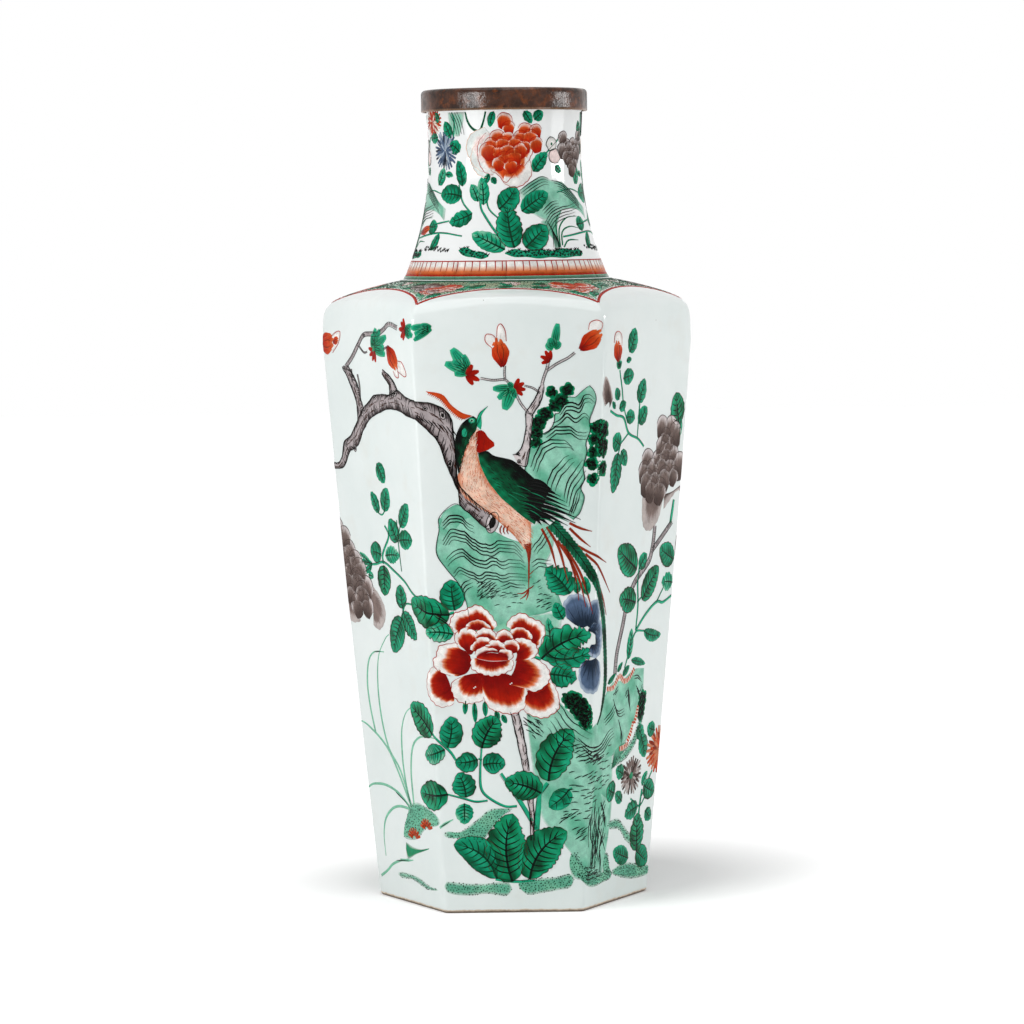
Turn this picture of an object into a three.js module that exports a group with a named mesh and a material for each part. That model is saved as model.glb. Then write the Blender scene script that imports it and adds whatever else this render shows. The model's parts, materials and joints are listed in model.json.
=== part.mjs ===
// A tall hexagonal porcelain vase with a moulded shoulder, a thrown waisted neck and a metal collar on the lip.
// The porcelain is modelled as the potter joined it: six mitred wall slabs stand round a base slab, the
// shoulder sits on the slabs, the neck sits on the shoulder, and rolls of slip press into the inside of
// every seam. The collar is a turned-over band of sheet metal, bedded on the lip in cement.
// Millimetres, +Z up, origin on the ground at the middle of the foot. The front face looks along -Y.
import * as THREE from 'three';

// Wall slabs: they lean outward, and swell a little between foot and shoulder
const wallHeight = 331;
const footCornerRadius = 80.6; // middle of the foot to its sharp outer corner
const shoulderCornerRadius = 110.4; // the same, at the top of the slabs
const wallBow = 0.9; // how far a corner stands out of its straight line, halfway up
const wallThickness = 7;
const arrisRadius = 4; // rounding of the six upright edges
const footChamfer = 1.2; // trimmed outer edge of the foot rim

// Base slab, set up inside the walls so that their lower edges are the foot rim
const baseRecess = 3;
const baseThickness = 8;

// Shoulder: an upright band that carries on the six faces, closed by a shallow dome
const shoulderBand = 24.7;
const domeDrop = 12.6; // fall of the dome from the neck to the radius of the corners
const domeBend = 1.2; // power of that fall: 1 would be a cone, 2 a bowl
const shoulderThickness = 7;
const shoulderSoftness = 12; // power of the blend of dome and hexagon: lower is rounder

// Neck
const neckRise = 111.7; // shoulder to the top of the collar
const neckFootRadius = 61.2; // outside of the neck where it meets the shoulder
const waistRadius = 45.3;
const waistDepth = 33; // top of the collar down to the narrowest ring
const lipRadius = 46.5; // outside of the porcelain lip, straight behind the collar
const neckWall = 5.5;
const neckFlare = 2.25; // power of the curve from waist to foot
const lipFlare = 1.3; // power of the curve from waist to lip

// Metal collar and its cement
const collarSheet = 1.2;
const collarFold = 1.4; // inside radius of its two top edges
const collarSkirt = 13; // height of the outside skirt
const collarInnerSkirt = 9;
const cementThickness = 1;

// Joints
const lutingJoint = 0.4; // width of every slip joint between two pieces of clay
const seatGap = 0.3; // clearance of a piece that lies against another
const slipLeg = 6; // how far a roll of slip reaches along each side of its corner
const slipHollow = 2; // depth of the finger stroke along the roll at the base
const slipBandHeight = 14; // the smeared band inside a level seam
const slipBandThickness = 2;
const slipBandEdge = 0.8; // its thickness where it feathers out

// Fineness of the curves
const roundSegments = 60;
const arrisSegments = 3;
const faceSegments = 6;
const wallStations = 6;
const shoulderStations = 6;
const neckStations = 12;
const foldSegments = 3;
const bandStations = 4;

// Levels that follow from the sizes above
const neckSeam = wallHeight + shoulderBand + domeDrop;
const overallHeight = neckSeam + neckRise;
const waistLevel = overallHeight - waistDepth;
const skirtFoot = overallHeight - collarSkirt;
const innerSkirtFoot = overallHeight - collarInnerSkirt;
const lipTop = overallHeight - collarSheet - cementThickness - 2 * seatGap;
const baseTop = baseRecess + baseThickness;

const faceCount = 6;
const halfFace = Math.PI / faceCount;
const frontFace = -Math.PI / 2;
const quarter = Math.PI / 2;

const polar = (radius, angle, z) => new THREE.Vector3(radius * Math.cos(angle), radius * Math.sin(angle), z);

const steps = (from, to, count) =>
  Array.from({ length: count + 1 }, (_, i) => THREE.MathUtils.lerp(from, to, i / count));

// Profiles. An apothem is the distance from the axis to the middle of a face.

function wallApothem(z) {
  const t = z / wallHeight;
  const corner = THREE.MathUtils.lerp(footCornerRadius, shoulderCornerRadius, t) + wallBow * 4 * t * (1 - t);
  return corner * Math.cos(halfFace);
}

const insideApothem = (z) => wallApothem(z) - wallThickness;

// The dome as if no hexagon cut it: its radius at a height below the neck
const domeRadius = (z) =>
  neckFootRadius + (shoulderCornerRadius - neckFootRadius) * ((neckSeam - z) / domeDrop) ** (1 / domeBend);

function neckRadius(z) {
  if (z >= waistLevel) {
    const rise = Math.min(1, (z - waistLevel) / (skirtFoot - waistLevel));
    return waistRadius + (lipRadius - waistRadius) * rise ** lipFlare;
  }
  const fall = (waistLevel - z) / (waistLevel - neckSeam);
  return waistRadius + (neckFootRadius - waistRadius) * fall ** neckFlare;
}

// Hexagons

// Angle from the middle of a face at which its rounded arris begins
const arrisStart = (apothem) => Math.atan2((apothem - arrisRadius) * Math.tan(halfFace), apothem);

// Radius of a hexagon with rounded corners, at an angle from the middle of a face
function roundedHexagon(apothem, angle) {
  const off = Math.abs(angle);
  if (off <= arrisStart(apothem)) return apothem / Math.cos(off);
  const centre = (apothem - arrisRadius) / Math.cos(halfFace);
  const side = centre * Math.sin(halfFace - off);
  return centre * Math.cos(halfFace - off) + Math.sqrt(arrisRadius ** 2 - side ** 2);
}

const sharpHexagon = (apothem, angle) => apothem / Math.cos(angle);

// Angles across one face from corner to corner, close together where the arris bends
function faceAngles(apothem, segments) {
  const start = arrisStart(apothem);
  return [
    ...steps(-halfFace, -start, arrisSegments),
    ...steps(-start, start, segments).slice(1),
    ...steps(start, halfFace, arrisSegments).slice(1),
  ];
}

const sharpRing = (apothem, z) =>
  Array.from({ length: faceCount }, (_, i) =>
    polar(sharpHexagon(apothem, halfFace), frontFace + halfFace * (2 * i + 1), z));

// Builders

// Triangles of a level section that runs anticlockwise seen from above
const capFaces = (section) =>
  THREE.ShapeUtils.triangulateShape(section.map((p) => new THREE.Vector2(p.x, p.y)), []);

// Skins a list of equal closed sections. A hoop's last section joins its first, and anything else is capped.
function loft(sections, hoop = false) {
  const count = sections[0].length;
  const spans = hoop ? sections.length : sections.length - 1;
  const faces = [];
  for (let s = 0; s < spans; s++) {
    const here = s * count;
    const next = ((s + 1) % sections.length) * count;
    for (let i = 0; i < count; i++) {
      const j = (i + 1) % count;
      faces.push(here + i, here + j, next + j, here + i, next + j, next + i);
    }
  }
  if (!hoop) {
    const top = spans * count;
    for (const [a, b, c] of capFaces(sections[0])) faces.push(a, c, b);
    for (const [a, b, c] of capFaces(sections[spans])) faces.push(top + a, top + b, top + c);
  }
  const geometry = new THREE.BufferGeometry().setFromPoints(sections.flat());
  geometry.setIndex(faces);
  geometry.computeVertexNormals();
  return geometry;
}

// A turned piece from a closed profile of [radius, height], listed anticlockwise with the axis on the left
function turned(profile) {
  const points = [...profile, profile[0]].map(([r, z]) => new THREE.Vector2(r, z));
  return new THREE.LatheGeometry(points, roundSegments).rotateX(quarter);
}

// Pieces

// The front wall slab. Its mitred ends are radial planes, set back by half of the luting joint.
function wallSlab() {
  const setBack = (radius) => halfFace - Math.asin(lutingJoint / 2 / radius);
  return loft([0, ...steps(footChamfer, wallHeight, wallStations)].map((z) => {
    const outer = wallApothem(z) - Math.max(0, footChamfer - z);
    const outerEnd = setBack(roundedHexagon(outer, halfFace));
    const outside = faceAngles(outer, 1).map((angle) => {
      const kept = THREE.MathUtils.clamp(angle, -outerEnd, outerEnd);
      return polar(roundedHexagon(outer, kept), frontFace + kept, z);
    });
    const inner = insideApothem(z);
    const innerEnd = setBack(sharpHexagon(inner, halfFace));
    const inside = [innerEnd, -innerEnd].map((angle) =>
      polar(sharpHexagon(inner, angle), frontFace + angle, z));
    return [...outside, ...inside];
  }));
}

// The roll of slip in the upright corner at the right of the front slab: two legs and a hollow round face
function cornerSlip() {
  const bottom = baseTop + slipLeg + 2 * seatGap;
  const top = wallHeight - slipBandHeight / 2 - seatGap;
  const bend = slipLeg / Math.tan(halfFace);
  const turn = frontFace + halfFace;
  return loft(steps(bottom, top, wallStations).map((z) => {
    const apex = sharpHexagon(insideApothem(z) - seatGap, halfFace);
    const centre = polar(apex - bend / Math.cos(halfFace), turn, z);
    const arc = steps(halfFace, -halfFace, arrisSegments).map((angle) =>
      polar(bend, turn + angle, 0).add(centre));
    return [polar(apex, turn, z), ...arc];
  }));
}

// The base slab tapers with the inside of the walls
const baseSlab = () => loft([baseRecess, baseTop].map((z) => sharpRing(insideApothem(z) - seatGap, z)));

// The roll of slip in the angle of base and walls, a three-cornered hoop with a hollow face
function baseSlip() {
  const foot = baseTop + seatGap;
  const back = (z) => insideApothem(z) - seatGap;
  return loft([
    sharpRing(back(foot), foot),
    sharpRing(back(foot + slipLeg), foot + slipLeg),
    sharpRing(back(foot) - slipHollow, foot + slipHollow),
    sharpRing(back(foot) - slipLeg, foot),
  ], true);
}

// A hexagon radius and a dome radius blended, never larger than either
const blended = (flat, dome) => flat * (1 + (flat / dome) ** shoulderSoftness) ** (-1 / shoulderSoftness);

const shoulderApothem = wallApothem(wallHeight);
const shoulderInside = shoulderApothem - wallThickness;

// The shoulder: a shallow dome that turns down into the six faces, open for the neck
function shoulder() {
  const angles = faceAngles(shoulderApothem, faceSegments).slice(1);
  const ring = (radiusAt, z) =>
    Array.from({ length: faceCount }, (_, face) =>
      angles.map((angle) => polar(radiusAt(angle), frontFace + 2 * halfFace * face + angle, z))).flat();

  const bottom = wallHeight + lutingJoint;
  const bend = wallHeight + shoulderBand;
  const band = steps(bottom, bend, shoulderStations);
  const dome = steps(bend, neckSeam, shoulderStations).slice(1);
  const outer = [...band, ...dome].map((z) =>
    ring((angle) => blended(roundedHexagon(shoulderApothem, angle), domeRadius(z)), z));

  const underside = neckSeam - shoulderThickness;
  const hole = [neckSeam, underside].map((z) => ring(() => neckFootRadius - neckWall, z));

  const inner = steps(underside, bottom, shoulderStations).map((z) =>
    ring((angle) => blended(sharpHexagon(shoulderInside, angle), domeRadius(z + shoulderThickness)), z));
  return loft([...outer, ...hole, ...inner], true);
}

// The band of slip over the seam of slabs and shoulder: a hoop that feathers out above and below
function shoulderSlip() {
  const low = wallHeight - slipBandHeight / 2;
  const high = wallHeight + slipBandHeight / 2;
  const corner = blended(sharpHexagon(shoulderInside, halfFace), domeRadius(high + shoulderThickness));
  const highBack = corner * Math.cos(halfFace) - seatGap;
  const seamBack = shoulderInside - seatGap;
  const lowBack = insideApothem(low) - seatGap;
  return loft([
    sharpRing(lowBack, low),
    sharpRing(seamBack, wallHeight),
    sharpRing(highBack, high),
    sharpRing(highBack - slipBandEdge, high),
    sharpRing(seamBack - slipBandThickness, wallHeight),
    sharpRing(lowBack - slipBandEdge, low),
  ], true);
}

// The neck: thrown, waisted, flared to its foot. Its lip stands straight inside the collar.
const lipBore = waistRadius - neckWall;

function neck() {
  const levels = steps(neckSeam + lutingJoint, skirtFoot, neckStations);
  const outside = [...levels, lipTop].map((z) => [neckRadius(z), z]);
  const inside = levels.map((z) => [neckRadius(Math.min(z, waistLevel)) - neckWall, z]);
  return turned([...outside, [lipBore, lipTop], ...inside.reverse()]);
}

// The band of slip over the seam of shoulder and neck, inside the neck's foot
function neckSlip() {
  const low = neckSeam - shoulderThickness / 2;
  const high = neckSeam + slipBandHeight / 2;
  const back = (z) => neckRadius(Math.max(z, neckSeam)) - neckWall - seatGap;
  const levels = steps(low, high, bandStations);
  const face = levels.map((z) => {
    const swell = Math.sin((Math.PI * (z - low)) / (high - low));
    return [back(z) - THREE.MathUtils.lerp(slipBandEdge, slipBandThickness, swell), z];
  });
  return turned([...levels.map((z) => [back(z), z]), ...face.reverse()]);
}

// Collar and cement wrap the lip: each is an upside-down U in section, and their corners share centres
const collarOuter = lipRadius + 2 * seatGap + cementThickness + collarSheet;
const collarBore = lipBore - 2 * seatGap - cementThickness - collarSheet;
const collarEdge = collarFold + collarSheet;

// The rounded outer and inner top corners of the U, at a distance from their centres
const overCorners = (radius) => [
  ...steps(0, quarter, foldSegments).map((angle) => [
    collarOuter - collarEdge + radius * Math.cos(angle),
    overallHeight - collarEdge + radius * Math.sin(angle),
  ]),
  ...steps(quarter, 2 * quarter, foldSegments).map((angle) => [
    collarBore + collarEdge + radius * Math.cos(angle),
    overallHeight - collarEdge + radius * Math.sin(angle),
  ]),
];

const rimCement = () => turned([
  [lipRadius + seatGap, skirtFoot + collarSheet],
  [lipRadius + seatGap + cementThickness, skirtFoot + collarSheet],
  ...overCorners(collarFold - seatGap),
  [lipBore - seatGap - cementThickness, innerSkirtFoot + collarSheet],
  [lipBore - seatGap, innerSkirtFoot + collarSheet],
  [lipBore - seatGap, lipTop + seatGap],
  [lipRadius + seatGap, lipTop + seatGap],
]);

const rimCollar = () => turned([
  [collarOuter - collarSheet, skirtFoot],
  [collarOuter, skirtFoot],
  ...overCorners(collarEdge),
  [collarBore, innerSkirtFoot],
  [collarBore + collarSheet, innerSkirtFoot],
  ...overCorners(collarFold).reverse(),
]);

// Finishes
const finish = (color, roughness, metalness = 0) =>
  new THREE.MeshStandardMaterial({ color, roughness, metalness });
const glazedPorcelain = () => finish(0xe4ebe8, 0.12);
const biscuit = () => finish(0xd9cdb8, 0.85);
const driedSlip = () => finish(0xdcd6c8, 0.8);
const limeCement = () => finish(0x8f8674, 0.95);
const brownBronze = () => finish(0x6b4226, 0.38, 0.8);

function piece(name, geometry, material, turn = 0) {
  const mesh = new THREE.Mesh(geometry, material);
  mesh.name = name;
  mesh.rotation.z = turn;
  return mesh;
}

// Six slabs and six corner slips, each the front one turned by whole faces
const walls = new THREE.Group();
['front', 'front_right', 'back_right', 'back', 'back_left', 'front_left'].forEach((side, i) => {
  walls.add(piece(`wall_slab_${side}`, wallSlab(), glazedPorcelain(), 2 * halfFace * i));
});
['front_right', 'right', 'back_right', 'back_left', 'left', 'front_left'].forEach((corner, i) => {
  walls.add(piece(`corner_slip_${corner}`, cornerSlip(), driedSlip(), 2 * halfFace * i));
});

const base = new THREE.Group();
base.add(piece('base_slab', baseSlab(), biscuit()));
base.add(piece('base_slip', baseSlip(), driedSlip()));

const top = new THREE.Group();
top.add(piece('shoulder', shoulder(), glazedPorcelain()));
top.add(piece('shoulder_slip', shoulderSlip(), driedSlip()));
top.add(piece('neck', neck(), glazedPorcelain()));
top.add(piece('neck_slip', neckSlip(), driedSlip()));

const rim = new THREE.Group();
rim.add(piece('rim_cement', rimCement(), limeCement()));
rim.add(piece('rim_collar', rimCollar(), brownBronze()));

const vase = new THREE.Group();
vase.add(walls, base, top, rim);

export default vase;
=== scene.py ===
import json
import math
import random

import bpy
import numpy as np
from mathutils import Matrix, Vector

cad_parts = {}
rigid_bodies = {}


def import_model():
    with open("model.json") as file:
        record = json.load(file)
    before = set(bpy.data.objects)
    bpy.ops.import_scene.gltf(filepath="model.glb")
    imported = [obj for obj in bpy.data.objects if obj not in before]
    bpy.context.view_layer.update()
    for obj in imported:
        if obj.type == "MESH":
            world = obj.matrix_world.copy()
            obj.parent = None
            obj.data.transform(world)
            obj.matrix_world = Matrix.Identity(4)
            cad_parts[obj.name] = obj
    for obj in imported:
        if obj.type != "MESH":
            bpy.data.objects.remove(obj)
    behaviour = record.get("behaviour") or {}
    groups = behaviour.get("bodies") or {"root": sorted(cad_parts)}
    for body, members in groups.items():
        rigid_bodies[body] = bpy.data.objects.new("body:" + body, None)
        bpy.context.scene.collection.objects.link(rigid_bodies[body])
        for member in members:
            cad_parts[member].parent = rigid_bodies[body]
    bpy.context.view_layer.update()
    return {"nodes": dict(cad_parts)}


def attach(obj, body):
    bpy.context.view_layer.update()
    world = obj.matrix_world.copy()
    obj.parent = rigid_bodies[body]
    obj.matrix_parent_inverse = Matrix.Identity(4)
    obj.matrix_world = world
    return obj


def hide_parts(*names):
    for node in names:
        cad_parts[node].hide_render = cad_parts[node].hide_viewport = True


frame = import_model()
mm = 0.001

# the vase's own surface, in millimetres, as the CAD model has it
vase = dict(wallHeight=331.0, footCorner=80.6, shoulderCorner=110.4, bow=0.9, wall=7.0, arris=4.0,
            chamfer=1.2, bandTop=352.0, seam=368.3, domeDrop=12.6, domeBend=1.2, softness=12,
            neckFoot=61.2, waist=45.3, waistLevel=447.0, lip=46.5, skirtFoot=467.0, lipTop=477.2,
            neckWall=5.5, neckFlare=2.25, lipFlare=1.3,
            glazeInset=0.3)   # the glaze lies this far inside the CAD surface, and the enamels stand on it
halfFace = math.pi / 6
frontAngle = -math.pi / 2


def wallApothem(z):
    t = z / vase["wallHeight"]
    widening = vase["shoulderCorner"] - vase["footCorner"]
    return (vase["footCorner"] + widening * t + vase["bow"] * 4 * t * (1 - t)) * math.cos(halfFace)


shoulderApothem = wallApothem(vase["wallHeight"])
leastPower = 1e-28   # keeps the root above nothing at the edge of a face


def domeRadius(z):
    fall = np.maximum(vase["seam"] - z, 0) / vase["domeDrop"]
    return vase["neckFoot"] + (vase["shoulderCorner"] - vase["neckFoot"]) * fall ** (1 / vase["domeBend"])


def neckRadius(z):
    rise = np.clip((z - vase["waistLevel"]) / (vase["skirtFoot"] - vase["waistLevel"]), 0, 1)
    fall = np.clip((vase["waistLevel"] - z) / (vase["waistLevel"] - vase["seam"]), 0, 1)
    return (vase["waist"] + (vase["lip"] - vase["waist"]) * rise ** vase["lipFlare"]
            + (vase["neckFoot"] - vase["waist"]) * fall ** vase["neckFlare"])


def faceOffset(angle):
    return (angle - frontAngle + halfFace) % (2 * halfFace) - halfFace


def roundedHexagon(apothem, offset):
    off = np.abs(offset)
    centre = (apothem - vase["arris"]) / math.cos(halfFace)
    side = centre * np.sin(halfFace - off)
    bend = centre * np.cos(halfFace - off) + np.sqrt(np.maximum(vase["arris"] ** 2 - side ** 2, 0))
    flat = apothem / np.cos(off)
    return np.where(off <= np.arctan2((apothem - vase["arris"]) * math.tan(halfFace), apothem), flat, bend)


def blended(flat, dome):
    return flat * (1 + (flat / dome) ** vase["softness"]) ** (-1 / vase["softness"])


def outerRadius(angle, z):
    flat = roundedHexagon(wallApothem(np.minimum(z, vase["wallHeight"])), faceOffset(angle))
    body = np.where(z > vase["wallHeight"], blended(flat, domeRadius(np.minimum(z, vase["seam"]))), flat)
    return np.where(z > vase["seam"], neckRadius(z), body)


def domeHeight(x, y):
    # height of the shoulder above a place in plan
    radius, angle = np.hypot(x, y), np.arctan2(y, x)
    flat = roundedHexagon(shoulderApothem, faceOffset(angle))
    power = float(vase["softness"])
    left = np.maximum(radius ** -power - flat ** -power, leastPower)
    share = (left ** (-1 / power) - vase["neckFoot"]) / (vase["shoulderCorner"] - vase["neckFoot"])
    return vase["seam"] - vase["domeDrop"] * np.maximum(share, 0) ** vase["domeBend"]


# a chart says what its two numbers mean: across a face and height, round the neck and height,
# or across a face and outward on the shoulder
neckMeasure = 48.0   # radius at which the neck's chart is true to size


# the two faces beside the back keep their painting clear of the corners that are seen from the front
clearance = dict(share=0.82, shift={2: 8.0, 4: -8.0})


def acrossFace(chart, a):
    shift = clearance["shift"]
    return a * clearance["share"] + shift[chart[1]] if chart[1] in shift else a


def spot(chart, a, b):
    kind, turn = chart
    middle = frontAngle + turn * 2 * halfFace
    if kind == "shoulder":
        angle = middle + np.arctan2(a, b)
        radius = np.hypot(a, b)
        x, y = radius * np.cos(angle), radius * np.sin(angle)
        return np.stack([x, y, domeHeight(x, y)], -1)
    if kind == "neck":
        angle = middle + a / neckMeasure
    else:
        a = acrossFace(chart, a)
        apothem = wallApothem(np.minimum(b, vase["wallHeight"]))
        width = 2 * apothem * math.tan(halfFace)
        over = np.round(a / width)   # past a corner the chart goes on over the next face
        angle = middle + over * 2 * halfFace + np.arctan2(a - over * width, apothem)
    radius = outerRadius(angle, b)
    return np.stack([radius * np.cos(angle), radius * np.sin(angle), b + 0 * a], -1)


def onGlaze(chart, a, b, lift):
    a, b = np.asarray(a, float), np.asarray(b, float)
    step = 0.02
    here = spot(chart, a, b)
    across = spot(chart, a + step, b) - spot(chart, a - step, b)
    along = spot(chart, a, b + step) - spot(chart, a, b - step)
    normal = np.cross(across, along)
    normal /= np.linalg.norm(normal, axis=-1, keepdims=True)
    if chart[0] == "shoulder":
        normal = -normal
    return here + normal * (np.asarray(lift)[..., None] - vase["glazeInset"])


def addNode(tree, kind, inputs=None, **settings):
    node = tree.nodes.new(kind)
    for name, value in settings.items():
        setattr(node, name, value)
    for name, value in (inputs or {}).items():
        if isinstance(value, bpy.types.NodeSocket):
            tree.links.new(value, node.inputs[name])
        else:
            node.inputs[name].default_value = value
    return node


def newGroup(name, inputs, outputs):
    group = bpy.data.node_groups.new(name, "ShaderNodeTree")
    for label, kind, value in inputs:
        socket = group.interface.new_socket(label, in_out="INPUT", socket_type=kind)
        if value is not None:
            socket.default_value = value
    for label, kind in outputs:
        group.interface.new_socket(label, in_out="OUTPUT", socket_type=kind)
    return group, group.nodes.new("NodeGroupInput"), group.nodes.new("NodeGroupOutput")


def math2(tree, operation, first, second):
    return addNode(tree, "ShaderNodeMath", {0: first, 1: second}, operation=operation).outputs[0]


def mixColor(tree, factor, first, second):
    return addNode(tree, "ShaderNodeMix", {0: factor, 6: first, 7: second}, data_type="RGBA").outputs[2]


def scaled(tree, tone, factor):
    return addNode(tree, "ShaderNodeVectorMath", {0: tone, "Scale": factor}, operation="SCALE").outputs[0]


def rangeMap(tree, value, low, high, newLow=0.0, newHigh=1.0):
    return addNode(tree, "ShaderNodeMapRange",
            {"Value": value, "From Min": low, "From Max": high, "To Min": newLow,
             "To Max": newHigh}).outputs[0]


def makeMottle():
    # cloudy variation at two sizes, used by glaze, enamel, metal and clay
    inputs = [("Vector", "NodeSocketVector", None), ("Scale", "NodeSocketFloat", 60.0),
              ("Fine", "NodeSocketFloat", 400.0), ("Low", "NodeSocketFloat", 0.35),
              ("High", "NodeSocketFloat", 0.65)]
    group, given, out = newGroup("mottle", inputs,
            [("Cloud", "NodeSocketFloat"), ("Grain", "NodeSocketFloat")])
    broad, fine = (addNode(group, "ShaderNodeTexNoise",
            {"Vector": given.outputs["Vector"], "Detail": detail, "Scale": given.outputs[scale],
             "Roughness": rough}) for scale, detail, rough in (("Scale", 4.0, 0.6), ("Fine", 3.0, 0.65)))
    cloud = rangeMap(group, broad.outputs[0], given.outputs["Low"], given.outputs["High"])
    group.links.new(cloud, out.inputs["Cloud"])
    group.links.new(fine.outputs[0], out.inputs["Grain"])
    return group


def makeSpecks():
    # a few small dark pinholes, as in a wood-fired glaze
    inputs = [("Vector", "NodeSocketVector", None), ("Scale", "NodeSocketFloat", 40.0),
              ("Size", "NodeSocketFloat", 0.02), ("Share", "NodeSocketFloat", 0.2)]
    group, given, out = newGroup("specks", inputs, [("Mask", "NodeSocketFloat")])
    cell = addNode(group, "ShaderNodeTexVoronoi",
            {"Vector": given.outputs["Vector"], "Scale": given.outputs["Scale"]})
    near = math2(group, "LESS_THAN", cell.outputs["Distance"], given.outputs["Size"])
    pick = addNode(group, "ShaderNodeSeparateColor", {0: cell.outputs["Color"]})
    chosen = math2(group, "LESS_THAN", pick.outputs[0], given.outputs["Share"])
    group.links.new(math2(group, "MULTIPLY", near, chosen), out.inputs["Mask"])
    return group


mottleGroup = makeMottle()
specksGroup = makeSpecks()


def useGroup(tree, group, inputs):
    return addNode(tree, "ShaderNodeGroup", inputs, node_tree=group)


def newMaterial(name, **principled):
    material = bpy.data.materials.new(name)
    material.use_nodes = True
    tree = material.node_tree
    shader = tree.nodes["Principled BSDF"]
    for label, value in principled.items():
        shader.inputs[label.replace("_", " ")].default_value = value
    place = tree.nodes.new("ShaderNodeTexCoord").outputs["Object"]
    return material, tree, shader, place


def addBump(tree, shader, height, strength, distance):
    bump = addNode(tree, "ShaderNodeBump", {"Height": height, "Strength": strength, "Distance": distance})
    tree.links.new(bump.outputs[0], shader.inputs["Normal"])
    return bump.outputs[0]


def rgb(hexCode):
    # a colour as it is seen, turned into the light values that Blender uses
    values = [int(hexCode[i:i + 2], 16) / 255 for i in (0, 2, 4)]
    return tuple(v / 12.92 if v <= 0.04045 else ((v + 0.055) / 1.055) ** 2.4 for v in values)


def opaque(hexCode):
    return rgb(hexCode) + (1,)


def makeGlaze():
    # neck is the paler colour of the painted highlight on the neck
    colours = dict(clear=opaque("E8EFED"), cool=opaque("E0E9E7"), neck=opaque("F8FAFA"),
            foot=opaque("D9C7B0"), footDarkEdge=opaque("3A2A20"), speck=opaque("6A6258"), ash=opaque("DDDFD8"))
    levels = dict(bareTop=0.0020, darkEdgeTop=0.0013, neck=(0.352, 0.376))
    material, tree, shader, place = newMaterial("clear_glaze", IOR=1.56)
    cloud = useGroup(tree, mottleGroup, {"Vector": place, "Scale": 14.0, "Fine": 260.0})
    tone = mixColor(tree, cloud.outputs["Cloud"], colours["clear"], colours["cool"])
    smear = useGroup(tree, mottleGroup, {"Vector": place, "Scale": 45.0, "Fine": 900.0, "Low": 0.56,
            "High": 0.8})
    tone = mixColor(tree, math2(tree, "MULTIPLY", smear.outputs["Cloud"], 0.5), tone, colours["ash"])
    height = addNode(tree, "ShaderNodeSeparateXYZ", {0: place}).outputs[2]
    # the neck is painted whiter than the slabs, a painted highlight for the brighter light that falls on it
    tone = mixColor(tree, rangeMap(tree, height, *levels["neck"], 0.0, 0.9), tone, colours["neck"])
    holes = useGroup(tree, specksGroup, {"Vector": place, "Scale": 70.0, "Size": 0.022, "Share": 0.10})
    tone = mixColor(tree, math2(tree, "MULTIPLY", holes.outputs["Mask"], 0.75), tone, colours["speck"])
    # the foot is bare clay, and darker still along its lowest edge, where it meets the table
    ragged = math2(tree, "MULTIPLY", math2(tree, "SUBTRACT", cloud.outputs["Grain"], 0.5), 0.0016)
    above = math2(tree, "ADD", height, ragged)
    bare = rangeMap(tree, above, levels["bareTop"] + 0.0002, levels["bareTop"] - 0.0002)
    darkEdge = rangeMap(tree, above, levels["darkEdgeTop"] + 0.0004, levels["darkEdgeTop"] - 0.0004)
    tone = mixColor(tree, bare, tone, colours["foot"])
    tone = mixColor(tree, math2(tree, "MULTIPLY", darkEdge, 0.8), tone, colours["footDarkEdge"])
    tree.links.new(tone, shader.inputs["Base Color"])
    gloss = rangeMap(tree, smear.outputs["Grain"], 0.3, 0.7, 0.05, 0.10)
    rough = math2(tree, "MAXIMUM", gloss, math2(tree, "MULTIPLY", bare, 0.8))
    tree.links.new(rough, shader.inputs["Roughness"])
    skin = math2(tree, "ADD", cloud.outputs["Cloud"], math2(tree, "MULTIPLY", cloud.outputs["Grain"], 0.25))
    skin = math2(tree, "SUBTRACT", skin, math2(tree, "MULTIPLY", holes.outputs["Mask"], 1.5))
    addBump(tree, shader, skin, 0.22, 0.0009)
    return material


def makeEnamel(name, grainLift):
    # the brush's own colour comes with the mesh, and its alpha says how glassy the enamel is
    material, tree, shader, place = newMaterial(name, IOR=1.52, Specular_IOR_Level=0.06)
    paint = addNode(tree, "ShaderNodeAttribute", attribute_name="pigment")
    pool = useGroup(tree, mottleGroup, {"Vector": place, "Scale": 210.0, "Fine": 1500.0, "Low": 0.34,
            "High": 0.68})
    shade = rangeMap(tree, pool.outputs["Cloud"], 0.0, 1.0, 1.0 - grainLift, 1.0 + grainLift)
    grain = rangeMap(tree, pool.outputs["Grain"], 0.3, 0.7, 1.0 - 0.6 * grainLift, 1.0 + 0.6 * grainLift)
    tone = scaled(tree, paint.outputs["Color"], math2(tree, "MULTIPLY", shade, grain))
    tree.links.new(tone, shader.inputs["Base Color"])
    glassy = rangeMap(tree, paint.outputs["Alpha"], 0.0, 1.0, 0.42, 0.10)
    rough = math2(tree, "ADD", glassy, math2(tree, "MULTIPLY", pool.outputs["Grain"], 0.07))
    tree.links.new(rough, shader.inputs["Roughness"])
    addBump(tree, shader, pool.outputs["Cloud"], 0.25, 0.0003)
    return material


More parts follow.
